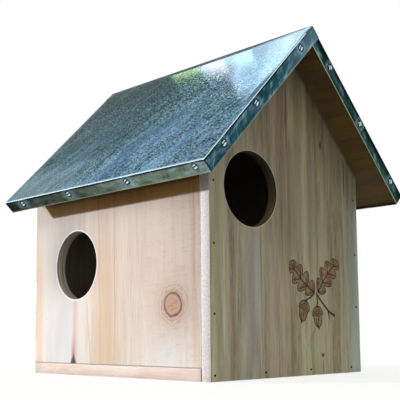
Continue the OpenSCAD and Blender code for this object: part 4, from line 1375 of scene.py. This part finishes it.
class NESTBOX_OT_roof_boards(bpy.types.Operator):
    """Make the two boards under the metal, the left one running over the right one at the ridge"""

    bl_idname = "nestbox.roof_boards"
    bl_label = "Roof boards"

    def execute(self, context):
        over = self.meet(SHEET_T, SHEET_T), self.meet(BOARD_COVER, SHEET_T)
        under = self.meet(SHEET_T, BOARD_COVER), self.meet(BOARD_COVER, BOARD_COVER)
        y = ROOF_FRONT + SHEET_T
        for name, side, tops, seed in (("left", -1, over, 9), ("right", 1, under, 10)):
            foot = SLOPE_LEN - SHEET_T
            corners = [
                on_slope(side, tops[0], SHEET_T, y), on_slope(side, foot, SHEET_T, y),
                on_slope(side, foot, BOARD_COVER, y), on_slope(side, tops[1], BOARD_COVER, y),
            ]
            bm = board_mesh(corners, Vector((0, ROOF_BACK - SHEET_T - y, 0)), seed=seed, wander=False)
            node = name + "_roof_board"
            pine_piece(node, bm, node + "_pine")
        return {"FINISHED"}

    def meet(self, deep, other):
        """How far down one slope a plane this deep meets a plane of the other slope"""
        return (other - deep * math.cos(2 * PITCH)) / math.sin(2 * PITCH)


def stations(first, last, marks, fine=1.1 * MM, coarse=9 * MM, near=5.5 * MM):
    """Distances from first to last, close together round each mark and further apart elsewhere"""
    places = [first]
    while places[-1] < last:
        close = any(abs(places[-1] + fine - mark) < near for mark in marks)
        ahead = [mark - near - places[-1] for mark in marks if mark - near > places[-1]]
        step = fine if close else min(coarse, max(fine, min(ahead, default=coarse)))
        places.append(places[-1] + step)
    places[-1] = last
    if places[-1] - places[-2] < 0.3 * fine:
        places.pop(-2)
    return places


PIN_NODES = ("left_eave_pins", "right_eave_pins", "front_rake_pins", "rear_rake_pins")
LAP_LIFT = 1.1 * SHEET_T    # at the peak the left rake flanges lap over the right ones
LAP_REACH = 24 * MM
LAP_FADE = 12 * MM
LAP_INSET = 0.3 * MM        # the lap stays this far under the face of the other slope
DENT_REACH = 9              # millimetres round a pin


def pin_axes():
    """Where each pin stands on the sheet, and the way out of it"""
    axes = []
    for node in PIN_NODES:
        for centre in middles_of(node):
            if "eave" in node:
                side = -1 if centre.x < 0 else 1
                out = down_slope(side)
                spot = on_slope(side, SLOPE_LEN, sheet_depth(centre), centre.y)
            else:
                out = Vector((0, -1 if centre.y < 0 else 1, 0))
                spot = Vector((centre.x, ROOF_FRONT if centre.y < 0 else ROOF_BACK, centre.z))
            axes.append((node, spot, out))
    return axes


class NESTBOX_OT_roof_sheet(bpy.types.Operator):
    """Fold the metal sheet over the ridge, eaves and rakes, with a dent under each pin"""

    bl_idname = "nestbox.roof_sheet"
    bl_label = "Roof sheet"

    def execute(self, context):
        radius, ridge_radius = sizes().fold_radius, sizes().ridge_radius
        tangent = ridge_radius * math.tan(PITCH)
        pins = pin_axes()
        eave_marks = [spot.y for node, spot, out in pins if "eave" in node]
        rake_marks = [abs(spot.x) / math.cos(PITCH) for node, spot, out in pins if "rake" in node]
        along = stations(ROOF_FRONT + radius, ROOF_BACK - radius, sorted(set(eave_marks)))
        down = stations(tangent, SLOPE_LEN - radius, sorted(set(rake_marks)))
        bm = bmesh.new()
        self.grime_and_shade = bm.verts.layers.float.new("dent")
        self.scuff_and_highlight = bm.verts.layers.float.new("scuff_and_highlight")
        self.lap = bm.verts.layers.float.new("lap")
        verts = [bm.verts.new(on_slope(-1, down[0], 0, y)) for y in along]
        ridge = [bm.edges.new(pair) for pair in zip(verts, verts[1:])]
        centre = Vector((0, 0, RIDGE - ridge_radius / math.cos(PITCH)))
        far = fold(bm, ridge, centre, (0, 1, 0), 2 * PITCH, 6)
        flange_rows = [1.1 * MM] * 9
        flange_rows.append(FLANGE - radius - sum(flange_rows))
        for side, edges in ((-1, ridge), (1, far)):
            for start, end in zip(down, down[1:]):
                edges = pull(bm, edges, down_slope(side) * (end - start))
            turn = on_slope(side, SLOPE_LEN - radius, radius, 0)
            edges = fold(bm, edges, turn, (0, 1, 0), side * math.pi / 2)
            for row in flange_rows:
                edges = pull(bm, edges, -off_slope(side) * row)
            self.rake(bm, side, flange_rows)
        bmesh.ops.remove_doubles(bm, verts=bm.verts, dist=0.002 * MM)
        bmesh.ops.recalc_face_normals(bm, faces=bm.faces)
        if sum((f.normal.z * f.calc_area() for f in bm.faces)) < 0:
            bmesh.ops.reverse_faces(bm, faces=bm.faces)
        for face in bm.faces:
            middle = face.calc_center_median()
            depth = sheet_depth(middle)
            folded = depth > 0.02 * MM and abs(middle.x) > tangent
            face.material_index = 1 if depth > radius else (2 if folded else 0)
        self.dent(bm, pins)
        self.wave(bm)
        bmesh.ops.solidify(bm, geom=bm.faces[:], thickness=SHEET_T)
        self.shaded_inside(bm)
        finishes = [material(name) for name in ("roof_zinc", "flange_zinc", "fold_zinc", "inner_zinc")]
        mesh_piece("folded_roof_sheet", bm, finishes, "nest_box", ["roof_sheet"])
        return {"FINISHED"}

    def shaded_inside(self, bm):
        """Gives the inner faces their own finish, painted dark as dirt and shade, but not the cut edges"""
        inside = Vector((0, 0, RIDGE / 2))
        bm.normal_update()
        for face in bm.faces:
            middle = face.calc_center_median()
            side = -1 if middle.x < 0 else 1
            cut_edge = face.normal.dot(off_slope(side)) < -0.8 and sheet_depth(middle) > FLANGE / 2
            if face.normal.dot(middle - inside) < 0 and not cut_edge:
                face.material_index = 3

    def rake(self, bm, side, rows):
        """Folds the two ends of one slope over the ends of its board"""
        radius = sizes().fold_radius
        for y, way in ((ROOF_FRONT + radius, -1), (ROOF_BACK - radius, 1)):
            edges = [
                e for e in bm.edges
                if all(abs(v.co.y - y) < 0.01 * MM and v.co.x * side > 0 for v in e.verts)
                and all(self.on_plane(v.co, side) for v in e.verts)
            ]
            turn = on_slope(side, 0, radius, y)
            edges = fold(bm, edges, turn, down_slope(side), -side * way * math.pi / 2)
            for row in rows:
                edges = pull(bm, edges, -off_slope(side) * row)
                for vert in {v for e in edges for v in e.verts}:
                    vert[self.lap] = way if side < 0 else 0

    def on_plane(self, point, side):
        off = (point - Vector((0, 0, RIDGE))).dot(off_slope(side))
        return abs(off) < 0.01 * MM

    def dent(self, bm, pins):
        """Presses the sheet in round each pin, and raises a little rim round the dent; marks dirt and
        painted shade in the dent and a scuffed, painted highlight on its rim
        """
        for node, spot, out in pins:
            for vert in bm.verts:
                gap = vert.co - spot
                if abs(gap.dot(out)) > 1 * MM:
                    continue
                far = (gap - out * gap.dot(out)).length / MM
                if far < DENT_REACH:
                    raised = 0.25 * math.exp(-(((far - 5.4) / 1.2) ** 2))
                    pressed = math.exp(-((far / 3.0) ** 2)) - raised
                    vert.co -= out * sizes().dimple * pressed
                    patchy = 0.8 + 0.8 * noise.noise(vert.co * 500)
                    vert[self.grime_and_shade] = min(1, patchy * max(0, 1.4 - abs(far - 3.0) / 1.3))
                    vert[self.scuff_and_highlight] = patchy * math.exp(-(((far - 6.0) / 1.8) ** 2))

    def wave(self, bm):
        """Lets the sheet and its flanges wander a little, as hand-folded metal does"""
        reach = sizes().flange_wave
        for vert in bm.verts:
            side = -1 if vert.co.x < 0 else 1
            if vert[self.lap]:
                near_peak = max(0.0, min(1.0, (LAP_REACH - abs(vert.co.x)) / LAP_FADE))
                vert.co.y += vert[self.lap] * LAP_LIFT * near_peak
                vert.co -= off_slope(side) * max(0.0, LAP_INSET - sheet_depth(vert.co))
            low = max(0.0, min(1.0, sheet_depth(vert.co) / FLANGE))
            if low > 0.05:
                ripple = noise.noise(vert.co * 28) + 0.4 * noise.noise(vert.co * 120)
                vert.co += off_slope(side) * reach * low * low * ripple * 0.8
            else:
                vert.co -= off_slope(side) * 0.06 * MM * (0.6 + noise.noise(vert.co * 12))


# The heads' heights in millimetres at shares of their radius, and the shanks' radii and heights
HEAD_RINGS = (
    (0.15, 0.28), (0.3, 0.32), (0.45, 0.42), (0.6, 0.56), (0.72, 0.64), (0.84, 0.60), (0.94, 0.42),
    (1.0, 0.2),
)
SHANK_RINGS = ((0.8, -0.2), (0.8, -12.6), (0.2, -15), (0, -15))
HEAD_SUNK = 0.12 * MM


class NESTBOX_OT_sheet_pins(bpy.types.Operator):
    """Make the pins that hold the flanges, with hammered heads that carry painted highlight strokes"""

    bl_idname = "nestbox.sheet_pins"
    bl_label = "Sheet pins"

    def execute(self, context):
        groups = {node: bmesh.new() for node in PIN_NODES}
        for bm in groups.values():
            bm.verts.layers.float.new("dent")
        head = sizes().pin_head
        profile = [(0, 0.26 * MM)] + [(share * head, height * MM) for share, height in HEAD_RINGS]
        profile += [(head, 0.02 * MM)] + [(radius * MM, height * MM) for radius, height in SHANK_RINGS]
        for index, (node, spot, out) in enumerate(pin_axes()):
            bm = turned(profile, 28)
            grime_and_shade = bm.verts.layers.float.new("dent")
            lean = math.radians(self.lean(node, spot) + 9 * math.sin(index * 1.7))
            for vert in bm.verts:
                if vert.co.z > 0:
                    vert.co.z += 0.09 * MM * noise.noise(vert.co * 900 + Vector((index, 0, 0)))
                # Painted highlight: two strokes across each head stay bright, and the rest of the head
                # takes dirt and painted shade
                off = (vert.co.x * math.sin(lean) - vert.co.y * math.cos(lean)) / head
                stroke = min(abs(off - 0.42) - 0.10, abs(off + 0.62))
                vert[grime_and_shade] = min(1, max(0, 5 * stroke - 0.5))
            tip = Matrix.Rotation(math.radians(4 * math.sin(index * 2.1)), 4, "X")
            stand = out.to_track_quat("Z", "Y").to_matrix().to_4x4()
            join_into(groups[node], bm, Matrix.Translation(spot - out * HEAD_SUNK) @ stand @ tip)
        for node, bm in groups.items():
            name = node + "_hammered"
            mesh_piece(name, bm, [material("pin_steel")], "nest_box", [node])
        return {"FINISHED"}

    def lean(self, node, spot):
        """Which way the painted highlight strokes of a head run, in degrees from level"""
        if "eave" in node:
            return 15
        return 58 if spot.x < 0 else 100


class NESTBOX_OT_nails(bpy.types.Operator):
    """Give the nails, brads and hidden screws their steel"""

    bl_idname = "nestbox.nails"
    bl_label = "Nails and brads"

    def execute(self, context):
        for finish, nodes in (
            ("bare_steel", (
                "front_wall_brads", "front_floor_brads", "floor_nails", "front_roof_nails",
                "rear_roof_nails", "ridge_nails", "stop_brads",
            )),
            ("plated_steel", (
                "wall_leaf_screws", "door_leaf_screws", "hanger_screws", "upper_hinge_pin",
                "lower_hinge_pin", "turn_button_washer", "turn_button_screw",
            )),
        ):
            for node in nodes:
                mesh = frame["nodes"][node].data
                mesh.materials.clear()
                mesh.materials.append(material(finish))
        return {"FINISHED"}


class NESTBOX_OT_fittings(bpy.types.Operator):
    """Make the hinge leaves, the turn button and the hanger plates with rounded edges"""

    bl_idname = "nestbox.fittings"
    bl_label = "Hinges, button and plates"

    def execute(self, context):
        for node in (
            "upper_hinge_wall_leaf", "upper_hinge_door_leaf", "lower_hinge_wall_leaf",
            "lower_hinge_door_leaf", "turn_button", "left_hanger_plate", "right_hanger_plate",
        ):
            softened_copy(node, sizes().fitting_edge, material("plated_steel"), node + "_rounded")
        return {"FINISHED"}


class NESTBOX_OT_oak_sprig(bpy.types.Operator):
    """Burn a sprig of oak leaves and acorns into the front gable"""

    bl_idname = "nestbox.oak_sprig"
    bl_label = "Burnt oak sprig"

    def execute(self, context):
        self.bm = bmesh.new()
        self.burn = self.bm.faces.layers.float.new("burn")
        fork = Vector((40, 86))
        twig_end = Vector((72, 62))
        self.line([twig_end, Vector((62, 66)), Vector((50, 76)), fork], 3.0, 2.0)
        self.line([Vector((60, 67)), Vector((62, 58))], 1.9, 1.2)
        self.leaf(Vector((38, 86)), Vector((-2, 118)), 27, 4)
        self.leaf(Vector((43, 86)), Vector((80, 122)), 27, 4)
        self.acorn(Vector((20, 70)), math.radians(-18), Vector((37, 85)))
        self.acorn(Vector((42, 64)), math.radians(6), Vector((41, 84)))
        bmesh.ops.recalc_face_normals(self.bm, faces=self.bm.faces)
        mesh_piece("burnt_oak_sprig", self.bm, [material("burnt_sprig")], "nest_box")
        return {"FINISHED"}

    def at(self, point, lift):
        return Vector((point.x * MM, GABLE_LOW.y - lift * MM, point.y * MM))

    def shape(self, points, lift=0.03):
        """A scorched shape with a dark rim, given in millimetres across and up the gable"""
        verts = [self.bm.verts.new(self.at(p, lift)) for p in points]
        face = self.bm.faces.new(verts)
        face.normal_update()
        rim = bmesh.ops.inset_region(
            self.bm, faces=[face], thickness=sizes().burnt_line, use_boundary=True,
            use_even_offset=False,
        )
        for made in rim["faces"]:
            made[self.burn] = 1

    def line(self, points, start, end, lift=0.05):
        """A dark line that tapers from one width to another"""
        last = None
        count = len(points) - 1
        for i, point in enumerate(points):
            before, after = points[max(0, i - 1)], points[min(count, i + 1)]
            way = (after - before).normalized()
            half = Vector((-way.y, way.x)) * (start + (end - start) * i / count) / 2
            ends = [self.at(point + half, lift), self.at(point - half, lift)]
            if last is None:
                last = self.bm.edges.new([self.bm.verts.new(p) for p in ends])
                continue
            drawn = bmesh.ops.extrude_edge_only(self.bm, edges=[last])["geom"]
            for vert in only(bmesh.types.BMVert, drawn):
                old = min(last.verts, key=lambda v: (v.co - vert.co).length)
                vert.co = ends[0] if old == last.verts[0] else ends[1]
            for face in only(bmesh.types.BMFace, drawn):
                face[self.burn] = 1
            far = only(bmesh.types.BMVert, drawn)
            last = next(e for e in only(bmesh.types.BMEdge, drawn) if set(e.verts) == set(far))

    def leaf(self, foot, tip, width, lobes):
        """A lobed oak leaf with a midrib, a vein in each lobe and short scorch marks between them"""
        way = tip - foot
        side = Vector((-way.y, way.x)).normalized()
        steps = 16 * lobes

        def half_width(share):
            body = math.sin(math.pi * min(1, 0.10 + share * 0.90)) ** 0.6
            lobe = abs(math.sin(math.pi * lobes * share)) ** 0.7
            return width / 2 * body * (0.40 + 0.60 * lobe)

        def rib(share):
            return foot + way * share + side * 3.0 * math.sin(math.pi * share)

        def rim(share, way_out):
            reach = half_width(share)
            return rib(share) + side * way_out * reach + way.normalized() * 0.22 * reach

        shares = [i / steps for i in range(steps + 1)]
        self.shape([rim(s, 1) for s in shares] + [rim(s, -1) for s in reversed(shares[1:-1])])
        self.line([rib(s) for s in shares[:-3:2]], 2.0, 1.0)
        for lobe in range(lobes):
            share = (lobe + 0.5) / lobes
            start = rib(share - 0.10)
            for way_out in (1, -1):
                end = rib(share).lerp(rim(share, way_out), 0.80)
                self.line([start, start.lerp(end, 0.5) + way.normalized() * 0.6, end], 1.4, 0.8)
                for i in range(3):
                    mark = rib(share).lerp(rim(share + 0.03 * (i - 1), way_out), 0.35 + 0.18 * i)
                    self.line([mark, mark + (end - start) * 0.18], 0.9, 0.6, 0.04)

    def acorn(self, centre, tilt, hung_from):
        """An acorn that hangs from its stalk, with a ridged cup"""
        turn = Matrix.Rotation(tilt, 2)

        def place(x, z):
            return centre + turn @ Vector((x, z))

        turns = [math.pi * i / 16 for i in range(17)]
        nut = [place(-7.6 * math.cos(a), -15 * math.sin(a) ** 0.85) for a in turns]
        tip = [place(-0.6, -17.0), place(0.6, -17.0)]
        self.shape(nut[:9] + tip + nut[9:])
        cup = [place(9.2 * math.cos(a), -2.0 + 10.5 * math.sin(a) ** 0.8) for a in turns]
        self.shape(cup, 0.05)
        for row in range(4):
            reach = 8.0 - row * 1.7
            arc = [place(reach * math.cos(a), -0.8 + row * 2.1 + 1.4 * math.sin(a)) for a in turns[::2]]
            self.line(arc, 1.0, 1.0, 0.07)
        for offset in (-2.6, 0.6):
            ridge = [place(offset, -4.5), place(offset * 0.9, -9), place(offset * 0.5, -12.5)]
            self.line(ridge, 1.2, 0.7)
        stalk = place(0, 8)
        self.line([stalk, stalk.lerp(hung_from, 0.5) + Vector((1.0, 0)), hung_from], 2.0, 1.7)


# Stage

# The picture's size and axis in pixels, the camera's place in metres and its angles
PHOTO_SIZE = 400
FOCAL_PIXELS = 823.5
AXIS_PIXEL = (215.4, 237.7)
CAMERA_PLACE = Vector((-0.6499, -0.6848, 0.048))
VIEW_ANGLES = tuple(math.radians(a) for a in (44.48, 6.39, -0.56))
FILL_LIGHT = 0.55
FLOOR_GLOW = 0.78
SUN_WAY = Vector((1, -1.4, -0.300))
SUN_LIGHT = 3.4
PANEL_FAR = 30.0


def heading(azimuth, height):
    """The way that points at an azimuth and a height, in radians"""
    level = math.cos(height)
    return Vector((math.sin(azimuth) * level, math.cos(azimuth) * level, math.sin(height)))


def panel(name, azimuth, height, wide, high, tilt, radiance, shade):
    """A lamp that the roof mirrors: its place, size and tilt in degrees, and its light"""
    angles = [math.radians(a) for a in (azimuth, height, wide, high, tilt)]
    return (name, *angles, radiance, shade)


PANELS = (
    panel("roof_sky", 27.6, 48.1, 8.6, 8.0, 0, 2.85, (0.84, 0.86, 1.0)),
    panel("high_sky", 28.6, 49.8, 8.6, 8.0, 0, 2.0, (1.0, 0.77, 0.62)),
    panel("sky_rim", 22.9, 44.0, 1.9, 0.5, 0, 2.4, (1.0, 0.9, 1.0)),
    panel("sky_side", 20.95, 45.1, 0.9, 1.6, 0, 1.5, (0.95, 0.88, 1.0)),
    panel("ridge_sky", 23.75, 43.0, 1.1, 3.8, 30, 5.0, (0.9, 0.95, 0.95)),
    panel("roof_glint", 22.75, 42.45, 0.8, 1.7, 20, 6.5, (1.0, 0.55, 0.55)),
    panel("peak_glint", 27.1, 46.9, 1.2, 0.8, 0, 1.8, (1.0, 0.8, 0.7)),
    panel("leaf_light", 22.0, 40.35, 0.7, 2.0, 28, 8.0, (1.0, 0.95, 0.42)),
)


class NESTBOX_OT_stage(bpy.types.Operator):
    """Set the floor, the lamps, the pale surroundings and the camera"""

    bl_idname = "nestbox.stage"
    bl_label = "Stage"

    def execute(self, context):
        self.surroundings(context.scene)
        self.floor(context.scene)
        self.lamps(context.scene)
        self.camera(context.scene)
        context.scene.view_settings.view_transform = "Standard"
        return {"FINISHED"}

    def seen(self, g):
        """1 for rays that show the backdrop: straight from the camera, mirrored or through glass"""
        path = g.add("ShaderNodeLightPath").outputs
        first = g.larger(path["Is Camera Ray"], path["Is Glossy Ray"])
        return g.larger(first, path["Is Transmission Ray"])

    def surroundings(self, scene):
        world = bpy.data.worlds.new("pale_surroundings")
        scene.world = world
        world.use_nodes = True
        g = Graph(world.node_tree)
        background = next(n for n in world.node_tree.nodes if n.type == "BACKGROUND")
        g.set(background.inputs["Color"], (1, 1, 1))
        strength = g.times_plus(self.seen(g), 1 - FILL_LIGHT, FILL_LIGHT)
        g.set(background.inputs["Strength"], strength)

    def floor(self, scene):
        bm = bmesh.new()
        bmesh.ops.create_grid(bm, x_segments=8, y_segments=8, size=6)
        mesh = bpy.data.meshes.new("stage_floor")
        bm.to_mesh(mesh)
        bm.free()
        mesh.materials.append(new_material("stage_floor_paint", self.floor_paint))
        floor = bpy.data.objects.new("stage_floor", mesh)
        scene.collection.objects.link(floor)

    def floor_paint(self, g):
        return {
            "Base Color": colours().floor, "Roughness": 1.0, "Specular IOR Level": 0.0,
            "Emission Color": (1, 1, 1), "Emission Strength": g.times(self.seen(g), FLOOR_GLOW),
        }

    def lamps(self, scene):
        sun = bpy.data.lights.new("low_sun", "SUN")
        sun.energy = SUN_LIGHT
        sun.angle = math.radians(2.5)
        sun.color = (1.0, 0.98, 0.95)
        lamp = bpy.data.objects.new("low_sun", sun)
        lamp.rotation_euler = SUN_WAY.to_track_quat("-Z", "Y").to_euler()
        scene.collection.objects.link(lamp)
        target = Vector((0, ROOF_FRONT, RIDGE))
        for name, azimuth, height, wide, high, tilt, radiance, shade in PANELS:
            way = heading(azimuth, height)
            light = bpy.data.lights.new(name, "AREA")
            light.shape = "RECTANGLE"
            light.size, light.size_y = (2 * PANEL_FAR * math.tan(angle / 2) for angle in (wide, high))
            light.energy = 4 * light.size * light.size_y * radiance
            light.color = shade
            lamp = bpy.data.objects.new(name, light)
            lamp.location = target + way * PANEL_FAR
            turn = way.to_track_quat("Z", "Y").to_matrix() @ Matrix.Rotation(tilt, 3, "Z")
            lamp.rotation_euler = turn.to_euler()
            scene.collection.objects.link(lamp)

    def camera(self, scene):
        data = bpy.data.cameras.new("camera")
        data.sensor_width = 36
        data.lens = FOCAL_PIXELS / PHOTO_SIZE * data.sensor_width
        data.shift_x = (PHOTO_SIZE / 2 - AXIS_PIXEL[0]) / PHOTO_SIZE
        data.shift_y = (AXIS_PIXEL[1] - PHOTO_SIZE / 2) / PHOTO_SIZE
        data.clip_start, data.clip_end = 0.05, 50
        camera = bpy.data.objects.new("camera", data)
        azimuth, height, roll = VIEW_ANGLES
        ahead = heading(azimuth, height)
        level = Vector((math.cos(azimuth), -math.sin(azimuth), 0))
        up = level.cross(ahead)
        right = math.cos(roll) * level + math.sin(roll) * up
        turn = Matrix((right, right.cross(ahead), -ahead)).transposed()
        camera.matrix_world = Matrix.Translation(CAMERA_PLACE) @ turn.to_4x4()
        scene.collection.objects.link(camera)
        scene.camera = camera


class NESTBOX_PT_pieces(bpy.types.Panel):
    """The nest box's pieces, sizes and colours"""

    bl_label = "Nest box"
    bl_space_type = "VIEW_3D"
    bl_region_type = "UI"
    bl_category = "Nest box"

    def draw(self, context):
        for operator in OPERATORS:
            self.layout.operator(operator.bl_idname)
        for group in (context.scene.nest_box_sizes, context.scene.nest_box_colours):
            box = self.layout.box()
            for name in group.__annotations__:
                box.prop(group, name)


OPERATORS = (
    NESTBOX_OT_front_gable, NESTBOX_OT_walls, NESTBOX_OT_floor, NESTBOX_OT_back,
    NESTBOX_OT_roof_boards, NESTBOX_OT_roof_sheet, NESTBOX_OT_sheet_pins, NESTBOX_OT_nails,
    NESTBOX_OT_fittings, NESTBOX_OT_oak_sprig, NESTBOX_OT_stage,
)
CLASSES = (NestBoxSizes, NestBoxColours, *OPERATORS, NESTBOX_PT_pieces)


def register():
    for made in CLASSES:
        bpy.utils.register_class(made)
    bpy.types.Scene.nest_box_sizes = bpy.props.PointerProperty(type=NestBoxSizes)
    bpy.types.Scene.nest_box_colours = bpy.props.PointerProperty(type=NestBoxColours)


def unregister():
    del bpy.types.Scene.nest_box_colours
    del bpy.types.Scene.nest_box_sizes
    for made in reversed(CLASSES):
        bpy.utils.unregister_class(made)


def main():
    register()
    for operator in OPERATORS:
        folder, name = operator.bl_idname.split(".")
        getattr(getattr(bpy.ops, folder), name)()


if __name__ == "__main__":
    main()
